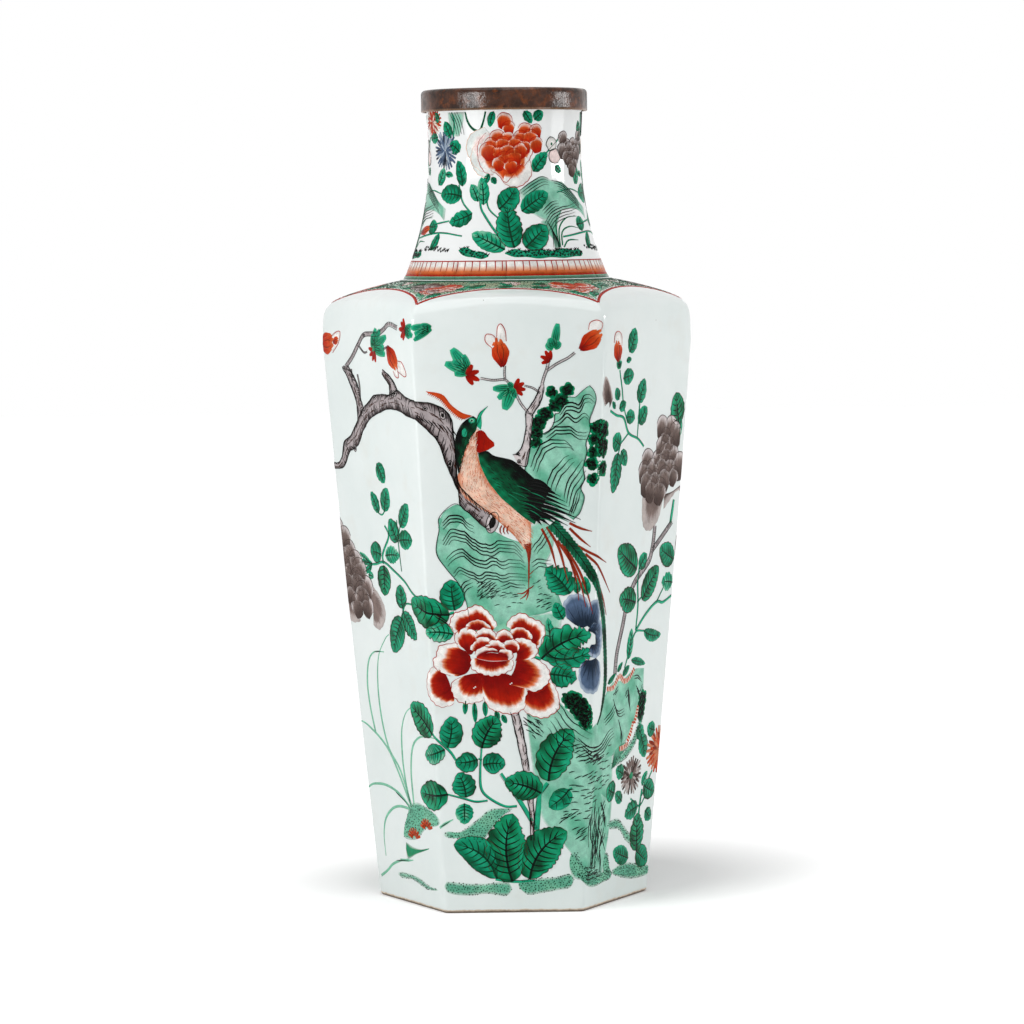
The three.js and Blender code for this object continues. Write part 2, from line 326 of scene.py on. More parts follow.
def makeBronze():
    colours = dict(brown=opaque("4A2204"), dark=opaque("160701"), rust=opaque("743808"),
            worn=opaque("B58A66"))
    wornLevels = (0.4685, 0.4672)
    material, tree, shader, place = newMaterial("brown_patina", Metallic=0.0, Specular_IOR_Level=0.05,
            Coat_Roughness=0.17, Coat_IOR=1.5)
    patch = useGroup(tree, mottleGroup, {"Vector": place, "Scale": 85.0, "Fine": 620.0, "Low": 0.36,
            "High": 0.62})
    rust = useGroup(tree, mottleGroup, {"Vector": place, "Scale": 160.0, "Fine": 1400.0, "Low": 0.52,
            "High": 0.72})
    tone = mixColor(tree, patch.outputs["Cloud"], colours["dark"], colours["brown"])
    tone = mixColor(tree, rust.outputs["Cloud"], tone, colours["rust"])
    grain = rangeMap(tree, patch.outputs["Grain"], 0.25, 0.75, 0.6, 1.4)
    tone = scaled(tree, tone, grain)
    # rubbed brighter along its lower edge
    height = addNode(tree, "ShaderNodeSeparateXYZ", {0: place}).outputs[2]
    low = rangeMap(tree, height, *wornLevels)
    worn = math2(tree, "MULTIPLY", math2(tree, "MULTIPLY", low, rust.outputs["Grain"]), 0.9)
    tone = mixColor(tree, worn, tone, colours["worn"])
    tree.links.new(tone, shader.inputs["Base Color"])
    tree.links.new(rangeMap(tree, patch.outputs["Cloud"], 0.0, 1.0, 0.5, 0.34), shader.inputs["Roughness"])
    # the wax on it is thick in some places and worn off in others
    wax = math2(tree, "MULTIPLY", rangeMap(tree, patch.outputs["Cloud"], 0.0, 1.0, 0.5, 1.0),
                rangeMap(tree, rust.outputs["Grain"], 0.35, 0.6, 0.45, 0.95))
    tree.links.new(wax, shader.inputs["Coat Weight"])
    dents = math2(tree, "ADD", patch.outputs["Cloud"], math2(tree, "MULTIPLY", patch.outputs["Grain"], 0.8))
    tree.links.new(addBump(tree, shader, dents, 0.3, 0.0005), shader.inputs["Coat Normal"])
    return material


def makeClay(name, light, dark, rough, scale):
    material, tree, shader, place = newMaterial(name)
    patch = useGroup(tree, mottleGroup, {"Vector": place, "Scale": scale, "Fine": scale * 9})
    tone = mixColor(tree, patch.outputs["Cloud"], light, dark)
    grain = rangeMap(tree, patch.outputs["Grain"], 0.3, 0.7, 0.88, 1.1)
    tone = scaled(tree, tone, grain)
    tree.links.new(tone, shader.inputs["Base Color"])
    tree.links.new(rangeMap(tree, patch.outputs["Grain"], 0.0, 1.0, rough - 0.1, rough + 0.1),
                   shader.inputs["Roughness"])
    addBump(tree, shader, patch.outputs["Grain"], 0.5, 0.0006)
    return material


glazeMaterial = makeGlaze()
enamelMaterial = makeEnamel("enamel_wash", 0.16)
lineMaterial = makeEnamel("brush_line", 0.08)
bronzeMaterial = makeBronze()
biscuitMaterial = makeClay("bare_biscuit", opaque("D9CDB8"), opaque("BFA98A"), 0.85, 70.0)
slipMaterial = makeClay("smeared_slip", opaque("DCD6C8"), opaque("C8BFAC"), 0.75, 120.0)
cementMaterial = makeClay("old_cement", opaque("8F8674"), opaque("6E6350"), 0.9, 200.0)
print("materials ready")

for node, thing in frame["nodes"].items():
    if node == "base_slab":
        finish = biscuitMaterial
    elif "slip" in node:
        finish = slipMaterial
    elif node == "rim_cement":
        finish = cementMaterial
    else:
        continue
    for slot in thing.material_slots:
        slot.material = finish


# porcelain body: one glazed skin for the luted slabs, shoulder and neck
bodyShape = dict(flatColumns=20, arrisColumns=6, wallLevels=44, bandLevels=8, domeLevels=22, neckLevels=42,
                 boreLevels=26, insideLevels=10, foot=3.0, crowding=0.55, fillet=0.35, rise=0.25,
                 pool=1.3)   # glaze gathered in the seam under the neck


def ringAngles(apothem):
    start = math.atan2((apothem - vase["arris"]) * math.tan(halfFace), apothem)
    one = np.concatenate([np.linspace(-halfFace, -start, bodyShape["arrisColumns"] // 2 + 1)[:-1],
            np.linspace(-start, start, bodyShape["flatColumns"] + 1)[:-1],
            np.linspace(start, halfFace, bodyShape["arrisColumns"] // 2 + 1)[:-1]])
    return np.concatenate([frontAngle + 2 * halfFace * face + one for face in range(6)])


def glazeRing(z):
    # a level ring on the outside of walls or neck
    angle = ringAngles(wallApothem(min(z, vase["wallHeight"])))
    chart = ("neck", 0) if z > vase["seam"] else ("face", 0)
    if chart[0] == "neck":
        return onGlaze(chart, (angle - frontAngle) * neckMeasure, z + 0 * angle, 0 * angle)
    turn = np.round((angle - frontAngle) / (2 * halfFace))
    apothem = wallApothem(min(z, vase["wallHeight"]))
    relative = angle - frontAngle - turn * 2 * halfFace
    across = apothem * np.tan(relative) + turn * 2 * apothem * math.tan(halfFace)
    return onGlaze(chart, across, z + 0 * angle, 0 * angle)


def domeRing(dome):
    angle = ringAngles(shoulderApothem)
    radius = blended(roundedHexagon(shoulderApothem, faceOffset(angle)), dome)
    relative = angle - frontAngle
    return onGlaze(("shoulder", 0), radius * np.sin(relative), radius * np.cos(relative), 0 * angle)


def plainRing(radius, z):
    angle = ringAngles(shoulderApothem)
    return np.stack([radius * np.cos(angle), radius * np.sin(angle), z + 0 * angle], -1)


def insideRing(z):
    # the sharp hexagon inside the walls, and the same hexagon blended into the dome's underside
    angle = ringAngles(shoulderApothem)
    sharp = (wallApothem(min(z, vase["wallHeight"])) - vase["wall"]) / np.cos(faceOffset(angle))
    if z > vase["wallHeight"]:
        sharp = blended(sharp, domeRadius(z + vase["wall"]))
    return np.stack([sharp * np.cos(angle), sharp * np.sin(angle), z + 0 * angle], -1)


def bodyRings():
    foot = glazeRing(vase["chamfer"])
    sole = foot.copy()
    sole[:, :2] *= 1 - (vase["chamfer"] / np.linalg.norm(foot[:, :2], axis=1, keepdims=True))
    sole[:, 2] = 0
    rings = [sole, foot]
    rings += [glazeRing(z) for z in np.linspace(bodyShape["foot"], vase["wallHeight"],
              bodyShape["wallLevels"])]
    rings += [glazeRing(z) for z in np.linspace(vase["wallHeight"], vase["bandTop"],
              bodyShape["bandLevels"])[1:]]
    top = float(domeRadius(vase["bandTop"]))
    pool = vase["neckFoot"] + bodyShape["pool"]
    shares = np.linspace(0, 1, bodyShape["domeLevels"])[1:] ** bodyShape["crowding"]
    rings += [domeRing(d) for d in top + (pool - top) * shares]
    rings += [plainRing(vase["neckFoot"] + bodyShape["fillet"] - vase["glazeInset"],
              vase["seam"] + bodyShape["rise"])]
    rings += [glazeRing(z) for z in np.linspace(vase["seam"] + bodyShape["pool"], vase["skirtFoot"],
              bodyShape["neckLevels"])]
    bore = vase["waist"] - vase["neckWall"]
    rings += [plainRing(vase["lip"] - vase["glazeInset"], vase["lipTop"]), plainRing(bore, vase["lipTop"])]
    for z in np.linspace(vase["skirtFoot"], vase["seam"], bodyShape["boreLevels"]):
        rings.append(plainRing(float(neckRadius(min(z, vase["waistLevel"]))) - vase["neckWall"], z))
    underside = vase["seam"] - vase["wall"]
    rings += [plainRing(vase["neckFoot"] - vase["neckWall"], underside)]
    rings += [insideRing(z) for z in np.linspace(underside, vase["wallHeight"],
              bodyShape["insideLevels"])[1:]]
    rings += [insideRing(z) for z in np.linspace(vase["wallHeight"], 0, bodyShape["insideLevels"])[1:]]
    return rings


def pointsOf(thing):
    places = np.empty(len(thing.data.vertices) * 3)
    thing.data.vertices.foreach_get("co", places)
    return places.reshape(-1, 3)


def makeBody():
    rings = bodyRings()
    columns = len(rings[0])
    # a circle is drawn up level by level, then each level takes its own outline
    bpy.ops.object.select_all(action="DESELECT")
    bpy.ops.mesh.primitive_circle_add(vertices=columns, radius=0.1, location=(0, 0, 0))
    body = bpy.context.object
    body.name = "porcelain_body"
    bpy.ops.object.mode_set(mode="EDIT")
    bpy.ops.mesh.select_all(action="SELECT")
    rise = 0.01
    for _ in rings[1:]:
        bpy.ops.mesh.extrude_region_move(TRANSFORM_OT_translate={"value": (0, 0, rise)})
    bpy.ops.object.mode_set(mode="OBJECT")
    place = pointsOf(body)
    storey = np.round(place[:, 2] / rise).astype(int)
    column = np.round(np.arctan2(place[:, 1], place[:, 0]) / (2 * math.pi) * columns).astype(int) % columns
    # column 0 of a ring is the corner left of the front face
    shift = int(round((frontAngle - halfFace) / (2 * math.pi) * columns))
    place = np.array(rings)[storey, (column - shift) % columns] * mm
    body.data.vertices.foreach_set("co", place.ravel())
    bpy.ops.object.mode_set(mode="EDIT")
    bpy.ops.mesh.select_all(action="DESELECT")
    bpy.ops.mesh.select_mode(type="EDGE")
    bpy.ops.mesh.select_non_manifold(extend=False)
    bpy.ops.mesh.bridge_edge_loops()   # closes the sole between the outer and the inner ring
    bpy.ops.mesh.select_all(action="SELECT")
    bpy.ops.mesh.remove_doubles(threshold=0.002 * mm)
    bpy.ops.mesh.normals_make_consistent(inside=False)
    bpy.ops.object.mode_set(mode="OBJECT")
    bpy.ops.object.shade_smooth_by_angle(angle=math.radians(40))
    body.data.materials.append(glazeMaterial)
    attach(body, "root")
    walls = [node for node in frame["nodes"] if node.startswith("wall_slab")]
    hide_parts(*walls, "shoulder", "neck")
    return body


porcelain = makeBody()
print("porcelain body:", len(porcelain.data.vertices), "points")


# collar: a turned-over band of sheet bronze, a little uneven from the hammer
collar = dict(outer=49.3, bore=37.0, top=480.0, skirtFoot=467.0, innerFoot=471.0, sheet=1.2, edge=2.6,
              hem=0.35, steps=144, dents=0.16)


def makeCollar():
    sheet, edge = collar["sheet"], collar["edge"]
    gap = 0.02
    outer, bore, top = collar["outer"] - gap, collar["bore"] + gap, collar["top"] - gap

    def corner(centreX, radius, start, end, count=7):
        turn = np.linspace(start, end, count)
        return [(centreX + radius * math.cos(a), top - edge + radius * math.sin(a)) for a in turn]

    foot, inner = collar["skirtFoot"], collar["innerFoot"]
    profile = [(outer - sheet, foot + 0.25), (outer - sheet + 0.3, foot), (outer - collar["hem"], foot),
               (outer, foot + collar["hem"])]
    profile += [(outer, z) for z in np.linspace(foot + 1.5, top - edge - 0.6, 7)]
    profile += corner(outer - edge, edge, 0, math.pi / 2)
    profile += [(outer - edge - step, top) for step in (1.6, 3.2, 4.8)]
    profile += corner(bore + edge, edge, math.pi / 2, math.pi)
    profile += [(bore, inner + 0.3), (bore + 0.3, inner), (bore + sheet, inner)]
    profile += corner(bore + edge, edge - sheet, math.pi, math.pi / 2, 4)
    profile += corner(outer - edge, edge - sheet, math.pi / 2, 0, 4)
    bpy.ops.object.select_all(action="DESELECT")
    # a closed circle takes the section's outline, then spins round the axis
    bpy.ops.mesh.primitive_circle_add(vertices=len(profile), radius=0.01)
    ring = bpy.context.object
    ring.name = "bronze_collar"
    for vertex, (x, z) in zip(ring.data.vertices, profile):
        vertex.co = (x * mm, 0, z * mm)
    bpy.ops.object.mode_set(mode="EDIT")
    bpy.ops.mesh.select_all(action="SELECT")
    bpy.ops.mesh.spin(steps=collar["steps"], angle=2 * math.pi, center=(0, 0, 0), axis=(0, 0, 1))
    bpy.ops.mesh.select_all(action="SELECT")
    bpy.ops.mesh.remove_doubles(threshold=0.02 * mm)
    bpy.ops.mesh.normals_make_consistent(inside=False)
    bpy.ops.object.mode_set(mode="OBJECT")
    # the skirt is not quite true: it was beaten down by hand
    place = pointsOf(ring)
    angle = np.arctan2(place[:, 1], place[:, 0])
    wave = sum(np.sin(angle * count + phase) for count, phase in ((5, 0.4), (9, 2.1), (14, 4.0),
               (23, 1.2))) / 4
    inward = collar["dents"] * (0.5 + 0.5 * wave) * mm
    skirt = np.hypot(place[:, 0], place[:, 1]) > (collar["outer"] - 0.4) * mm
    place[:, :2] *= 1 - (skirt * inward / np.hypot(place[:, 0], place[:, 1]))[:, None]
    ring.data.vertices.foreach_set("co", place.ravel())
    bpy.ops.object.shade_smooth_by_angle(angle=math.radians(50))
    ring.data.materials.append(bronzeMaterial)
    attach(ring, "root")
    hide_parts("rim_collar")


makeCollar()
print("collar ready")


# Enamel painting: every brush stroke is a thin closed solid that follows the curved glaze, so it is
# written point by point. A coat gathers the strokes of one panel into one piece.
pigment = dict(deepGreen="05482B", emerald="068B5C", forest="045A3A", jade="089068", leafGreen="1FA57C",
        paleGreen="7CC2A2", mossGreen="137350", turquoise="93CDB6", turquoiseDeep="65B294", ink="0C0908",
        greenInk="031A10", brownInk="3E2014", ironRed="AE1C05", deepRed="7E0604", orange="DC7440",
        vermilion="C4441A", petalWhite="F1EFEB", blush="F1DAD6", bare="E4EAE7", aubergine="7E6C66",
        aubergineDark="42312B", aubergineLight="B9AEAA", blue="4E627E", blueDark="1D2A3B",
        blueLight="A0B0C2", bark="AAA0A1", barkDark="493A3A", barkPale="CFC6C6", veinGreen="053B25",
        salmon="EAC0A8", salmonDeep="D2805C", plume="8E301A", black="060806", straw="EEDCCB",
        lappet="9BB296", lappetDark="4C7660")
pigment = {name: np.array(rgb(code)) for name, code in pigment.items()}
glassy, thin = 1.0, 0.25   # alpha of a thick glassy enamel, and of thin iron red or black
# how high a stroke stands on the glaze
level = dict(ground=0.06, rock=0.075, moss=0.09, stem=0.105, leaf=0.12, flower=0.125, line=0.225)
# how deep a stroke is sunk, how near a corner and how finely it is bent round it, the least half width of
# a line, how far a cap is drawn in on the bake map, and the steps of a wash
strokeForm = dict(depth=0.05, nearCorner=3.2, finest=0.9, leastHalf=0.07, tuck=0.25, dotTuck=0.6, washGap=1.8)
hand = random.Random(11)   # the unevenness of the hand, the same each run


def tinted(name, gloss=glassy):
    return np.append(pigment[name], gloss)


def between(first, second, share):
    share = np.asarray(share, float)[..., None]
    return first * (1 - share) + second * share


def smooth(value, low, high):
    t = np.clip((np.asarray(value, float) - low) / (high - low), 0, 1)
    return t * t * (3 - 2 * t)


def path(points, gap=None, count=None):
    # an even walk along the smooth curve through the points
    p = np.array(points, float)
    if len(p) > 2:
        ends = np.vstack([2 * p[0] - p[1], p, 2 * p[-1] - p[-2]])
        t = np.linspace(0, 1, 9)[:-1, None]
        parts = []
        for a, b, c, d in zip(ends, ends[1:], ends[2:], ends[3:]):
            parts.append(0.5 * (2 * b + (c - a) * t + (2 * a - 5 * b + 4 * c - d) * t ** 2
                         + (3 * b - a - 3 * c + d) * t ** 3))
        p = np.vstack(parts + [p[-1:]])
    reach = np.append(0, np.cumsum(np.hypot(*np.diff(p, axis=0).T)))
    if count is None:
        count = max(2, int(round(reach[-1] / gap)) + 1)
    along = np.linspace(0, reach[-1], count)
    return np.stack([np.interp(along, reach, p[:, 0]), np.interp(along, reach, p[:, 1])], -1)


def sideways(line):
    # unit vectors to the left of a walk
    go = np.gradient(line, axis=0)
    go /= np.maximum(np.hypot(go[:, 0], go[:, 1]), 1e-9)[:, None]
    return np.stack([-go[:, 1], go[:, 0]], -1)


def newCoat(name):
    return dict(name=name, parts=[], faces=[], dotFaces=[], soft=[], size=0)


def newCoats(place):
    # the enamels of a panel and the drawing over them
    return newCoat("enamel_" + place), newCoat("linework_" + place)


def resampled(values, rows, columns):
    # bilinear refinement of a grid
    r = np.linspace(0, values.shape[0] - 1, rows)
    c = np.linspace(0, values.shape[1] - 1, columns)
    r0 = np.minimum(r.astype(int), values.shape[0] - 2)
    c0 = np.minimum(c.astype(int), values.shape[1] - 2)
    fr, fc = (r - r0)[:, None, None], (c - c0)[None, :, None]
    v = values.reshape(values.shape[0], values.shape[1], -1)
    top = v[r0][:, c0] * (1 - fc) + v[r0][:, c0 + 1] * fc
    low = v[r0 + 1][:, c0] * (1 - fc) + v[r0 + 1][:, c0 + 1] * fc
    return top * (1 - fr) + low * fr


def nearArris(chart, grid):
    across = acrossFace(chart, grid[..., 0])
    width = 2 * wallApothem(np.clip(grid[..., 1], 0, vase["wallHeight"])) * math.tan(halfFace)
    away = np.abs(np.abs(across - np.round(across / width) * width) - width / 2)
    return away.min() < strokeForm["nearCorner"]


def lay(coat, chart, grid, tint, lift):
    # one stroke: a grid of places on the chart becomes a closed solid with its own tints
    grid = np.asarray(grid, float)
    rows, columns = grid.shape[:2]
    tint = np.broadcast_to(tint, (rows, columns, 4))
    lift = np.broadcast_to(lift, (rows, columns))
    if chart[0] == "face" and nearArris(chart, grid):
        longest = [np.abs(np.diff(grid[..., 0], axis=axis)).max() for axis in (0, 1)]
        finer = [max(1, math.ceil(one / strokeForm["finest"])) for one in longest]
        rows, columns = (rows - 1) * finer[0] + 1, (columns - 1) * finer[1] + 1
        grid, tint = resampled(grid, rows, columns), resampled(tint, rows, columns)
        lift = resampled(lift[..., None], rows, columns)[..., 0]
    index = np.arange(rows * columns).reshape(rows, columns)
    rim = np.concatenate([index[:-1, 0], index[-1, :-1], index[:0:-1, -1], index[0, :0:-1]])
    flat = grid.reshape(-1, 2)
    x, y = flat[rim].T
    area = np.sum(x * np.roll(y, -1) - np.roll(x, -1) * y)
    if (area < 0) != (chart[0] == "shoulder"):
        grid, tint, lift = grid[:, ::-1], tint[:, ::-1], lift[:, ::-1]
        flat = grid.reshape(-1, 2)
    total = rows * columns
    start = coat["size"]
    quads = index[:-1, :-1], index[1:, :-1], index[1:, 1:], index[:-1, 1:]
    a, b, c, d = (corner.ravel() for corner in quads)
    after = np.roll(rim, -1)
    under = np.stack([a, d, c, b], -1) + total
    skirt = np.stack([rim + total, after + total, after, rim], -1)
    top = np.stack([a, b, c, d], -1)
    coat["faces"].append(np.concatenate([under, skirt, top]) + start)
    coat["soft"].append(np.concatenate([np.zeros(len(under) + len(skirt), bool), np.ones(len(top), bool)]))
    inner = [np.clip(np.arange(n), 1, n - 2) if n > 2 else np.array([1, 0]) for n in (rows, columns)]
    tucked = (1 - strokeForm["tuck"]) * grid + strokeForm["tuck"] * grid[inner[0]][:, inner[1]]
    coat["parts"].append((chart, np.concatenate([flat, flat]),
            np.concatenate([lift.ravel(), np.full(total, -strokeForm["depth"])]),
            np.concatenate([tint.reshape(-1, 4)] * 2), np.concatenate([flat, tucked.reshape(-1, 2)])))
    coat["size"] += 2 * total


def dots(coat, chart, places, radius, tint, lift, sides):
    # many little round touches of the brush tip
    places = np.asarray(places, float).reshape(-1, 2)
    if len(places) == 0:
        return
    radii = radius * np.array([hand.uniform(0.7, 1.25) for _ in places])
    turn = np.linspace(0, 2 * math.pi, sides, endpoint=False)
    circle = np.stack([np.cos(turn), np.sin(turn)], -1)
    if chart[0] == "shoulder":
        circle = circle[::-1]
    ring = places[:, None] + circle * radii[:, None, None]
    tuck = places[:, None] + circle * radii[:, None, None] * strokeForm["dotTuck"]
    count = len(places)
    both = np.concatenate([ring, ring], 1).reshape(-1, 2)
    lifts = np.tile(np.concatenate([np.full(sides, lift), np.full(sides, -strokeForm["depth"])]), count)
    first = coat["size"] + np.arange(count)[:, None] * 2 * sides
    step = np.arange(sides)
    after = (step + 1) % sides
    skirt = np.stack([step + sides, after + sides, after, step], -1)
    coat["faces"].append((skirt[None] + first[..., None]).reshape(-1, 4))
    coat["soft"].append(np.zeros(count * sides, bool))
    coat["dotFaces"].append(np.concatenate([first + step[None], first + sides + step[None, ::-1]]))
    tint = np.broadcast_to(tint, (count, 4))
    coat["parts"].append((chart, both, lifts, np.repeat(tint, 2 * sides, 0),
            np.concatenate([ring, tuck], 1).reshape(-1, 2)))
    coat["size"] += 2 * sides * count


def finishCoat(coat, material):
    # places all strokes on the glaze and makes the piece
    charts = sorted({part[0] for part in coat["parts"]})
    points = np.empty((coat["size"], 3))
    spread = np.concatenate([part[4] for part in coat["parts"]])
    tints = np.concatenate([part[3] for part in coat["parts"]])
    owner = np.concatenate([np.full(len(part[1]), charts.index(part[0])) for part in coat["parts"]])
    places = np.concatenate([part[1] for part in coat["parts"]])
    lifts = np.concatenate([part[2] for part in coat["parts"]])
    for number, chart in enumerate(charts):
        mine = owner == number
        points[mine] = onGlaze(chart, places[mine, 0], places[mine, 1], lifts[mine])
    if charts[0][0] == "shoulder":   # in plan, for the bake map
        turn = owner * 2 * halfFace
        x, y = spread[:, 0].copy(), -spread[:, 1].copy()
        spread = np.stack([x * np.cos(turn) - y * np.sin(turn), x * np.sin(turn) + y * np.cos(turn)], -1)
    faces = np.concatenate(coat["faces"]).tolist()
    soft = np.concatenate(coat["soft"])
    if coat["dotFaces"]:
        lids = [lid for batch in coat["dotFaces"] for lid in batch.tolist()]
        faces += lids
        soft = np.append(soft, np.zeros(len(lids), bool))
    mesh = bpy.data.meshes.new(coat["name"])
    mesh.from_pydata((points * mm).tolist(), [], faces)
    mesh.polygons.foreach_set("use_smooth", soft)
    mesh.attributes.new("pigment", "FLOAT_COLOR", "POINT").data.foreach_set("color", tints.ravel())
    corners = np.empty(len(mesh.loops), np.int32)
    mesh.loops.foreach_get("vertex_index", corners)
    low, high = spread.min(0), spread.max(0)
    unit = 0.01 + 0.98 * (spread - low) / (high - low)
    mesh.uv_layers.new(name="OFBake").uv.foreach_set("vector", unit[corners].ravel())
    mesh.materials.append(material)
    piece = bpy.data.objects.new(coat["name"], mesh)
    bpy.context.scene.collection.objects.link(piece)
    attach(piece, "root")
    print(coat["name"], len(faces), "faces")


def finishCoats(coats):
    finishCoat(coats[0], enamelMaterial)
    finishCoat(coats[1], lineMaterial)


def brush(coat, chart, points, width, tint, lift, taper=(0.25, 0.25), gap=1.6):
    # a line; taper gives how thin its start and its end are
    line = path(points, gap)
    t = np.linspace(0, 1, len(line))
    body = taper[0] + (1 - taper[0]) * smooth(t, 0, 0.3)
    body *= taper[1] + (1 - taper[1]) * smooth(t, 1, 0.5)
    half = np.maximum(width / 2 * body, strokeForm["leastHalf"])[:, None] * sideways(line)
    lay(coat, chart, np.stack([line + half, line - half], 1), tint, lift)


def draw(ink, chart, points, width, tone, taper=(0.25, 0.25), gap=1.6):
    # a line of the drawing, over the enamels
    brush(ink, chart, points, width, tinted(tone, thin), level["line"], taper, gap)


def jitter(points, amount):
    return [(x + hand.uniform(-amount, amount), y + hand.uniform(-amount, amount)) for x, y in points]


def band(edgeA, edgeB, gap):
    # a grid between two edges
    a, b = np.array(edgeA, float), np.array(edgeB, float)
    longest = max(np.hypot(*np.diff(e, axis=0).T).sum() for e in (a, b))
    count = max(3, int(longest / gap) + 1)
    a, b = path(a, count=count), path(b, count=count)
    across = max(3, int(np.hypot(*(a - b).T).max() / gap) + 1)
    share = np.linspace(0, 1, across)[None, :, None]
    return a[:, None] * (1 - share) + b[:, None] * share


def clouds(grid, size, seed=0.0):
    # slow uneven shading over a grid, -1 to 1
    x, y = grid[..., 0] / size, grid[..., 1] / size
    return (np.sin(x * 1.7 + y * 0.9 + seed) + np.sin(x * -1.1 + y * 2.1 + seed * 2.3)
            + np.sin(x * 2.9 + y * 2.6 + seed * 0.7)) / 3


def wash(coat, chart, edgeA, edgeB, tone, edge, lift, soft=0.12, ends=True, patch=9.0, under="bare"):
    # a flat wash of enamel, cloudy, and thinning to the bare glaze at its rim
    grid = band(edgeA, edgeB, strokeForm["washGap"])
    rows, columns = grid.shape[:2]
    cloud = 0.5 + 0.5 * clouds(grid, patch, hand.uniform(0, 9))
    tint = between(tinted(tone), tinted(edge), smooth(cloud, 0.35, 0.9))
    s = np.abs(np.linspace(-1, 1, columns))[None, :] + 0 * grid[..., 0]
    t = np.abs(np.linspace(-1, 1, rows))[:, None] + 0 * grid[..., 0]
    far = np.maximum(s, t if ends else 0)
    tint = between(tint, tinted(under), 0.75 * smooth(far, 1 - soft, 1.0))
    relief = level[lift] if isinstance(lift, str) else lift
    lay(coat, chart, grid, tint, relief - 0.03 * smooth(far, 1 - soft, 1.0))


def inside(polygon, x, y):
    hit = False
    for (ax, ay), (bx, by) in zip(polygon, polygon[1:] + polygon[:1]):
        if (ay > y) != (by > y) and x < (bx - ax) * (y - ay) / (by - ay) + ax:
            hit = not hit
    return hit


def scattered(polygon, space):
    # uneven places all over a shape
    xs, ys = [p[0] for p in polygon], [p[1] for p in polygon]
    found, row, y = [], 0, min(ys)
    while y < max(ys):
        x = min(xs) + (space / 2 if row % 2 else 0)
        while x < max(xs):
            px, py = (value + hand.uniform(-0.35, 0.35) * space for value in (x, y))
            if inside(polygon, px, py):
                found.append((px, py))
            x += space
        y += space * 0.86
        row += 1
    return found


# narrow leaves are never dark; broad ones have the darker line and an outline; some end in a ragged tip
leafTones = dict(dark=("deepGreen", "emerald", "leafGreen"), mid=("forest", "jade", "leafGreen"),
                 light=("jade", "leafGreen", "paleGreen"))
leafForm = dict(step=1.1, narrow=16, darkLine=13, outlined=12, ragged=0.72, firstVein=0.10, veinSpan=0.74,
                veinReach=0.17)


def leaf(coats, chart, base, tip, width, tone, bend, veins, notch, lift=level["leaf"]):
    paint, ink = coats
    if tone == "dark" and width < leafForm["narrow"]:
        tone = "mid"
    tones = leafTones[tone]
    base, tip = np.array(base, float), np.array(tip, float)
    length = math.hypot(*(tip - base))
    across = np.array([-(tip - base)[1], (tip - base)[0]]) / length
    rows = max(10, int(length / leafForm["step"]) + 1)
    t = np.linspace(0, 1, rows)
    spine = base + (tip - base) * t[:, None] + across * (bend * 4 * t * (1 - t))[:, None]
    side = sideways(spine)
    half = width / 2 * np.maximum(np.sin(np.pi * t ** 0.88), 0) ** 0.55
    lobes = max(3, veins)
    rims = []
    for sign in (1, -1):
        notches = (1 - np.abs(np.sin(np.pi * t * lobes + (0.8 if sign > 0 else 0)))) * (notch + 0.035) * 1.3
        torn = notch * 2.4 * (t > leafForm["ragged"]) * (np.arange(rows) % 2)
        rims.append(spine + sign * side * np.maximum(half * (1 - notches - torn), 0.12)[:, None])
    columns = max(5, 2 * int(width / 2.6) + 1)
    s = np.linspace(1, -1, columns)
    grid = spine[:, None] + np.where(s[None, :, None] > 0, (rims[0] - spine)[:, None] * s[None, :, None],
            (rims[1] - spine)[:, None] * -s[None, :, None])
    # one half of the blade is lighter towards its edge, the other towards the rib, and the enamel pools
    fold = hand.choice((-1, 1))
    pools = clouds(grid, max(2.0, width * 0.22), hand.uniform(0, 9))
    half = np.where(s * fold > 0, np.abs(s), 0.75 - 0.75 * np.abs(s))[None, :]
    tint = between(tinted(tones[0]), tinted(tones[1]),
            smooth(half + 0.3 * t[:, None] + 0.45 * pools, 0.0, 0.8))
    tint = between(tint, tinted(tones[2]), smooth(half + 0.25 * t[:, None] + 0.6 * pools, 0.55, 1.35))
    lay(paint, chart, grid, tint, lift + 0.02 * (1 - s[None, :] ** 2) * np.sin(np.pi * t)[:, None])
    line = "greenInk" if width > leafForm["darkLine"] and tone == "dark" else "veinGreen"
    bold = min(1.2, 0.5 + width / 32)
    draw(ink, chart, spine[: int(rows * 0.94)], 1.1 * bold, line, (1, 0.25))
    for number in range(veins):
        at = leafForm["firstVein"] + leafForm["veinSpan"] * (number + 0.3) / veins
        reach = min(0.97, at + leafForm["veinReach"])
        for rim in rims:
            start = np.array([np.interp(at, t, spine[:, i]) for i in (0, 1)])
            rimPoint = np.array([np.interp(reach, t, rim[:, i]) for i in (0, 1)])
            middle = (start + rimPoint) / 2 + (start - tip) * 0.04
            end = start + (rimPoint - start) * hand.uniform(0.7, 0.9)
            draw(ink, chart, [start, middle, end], 0.6 * bold, line, (1, 0.25), 2.0)
    if width > leafForm["outlined"]:
        for rim in rims:
            brush(ink, chart, rim, 0.3, tinted("brownInk", thin), level["line"] - 0.01, (0.5, 0.5), 1.2)


petalForm = dict(step=1.1, swell=0.03, highest=0.04, rimLine=0.05)


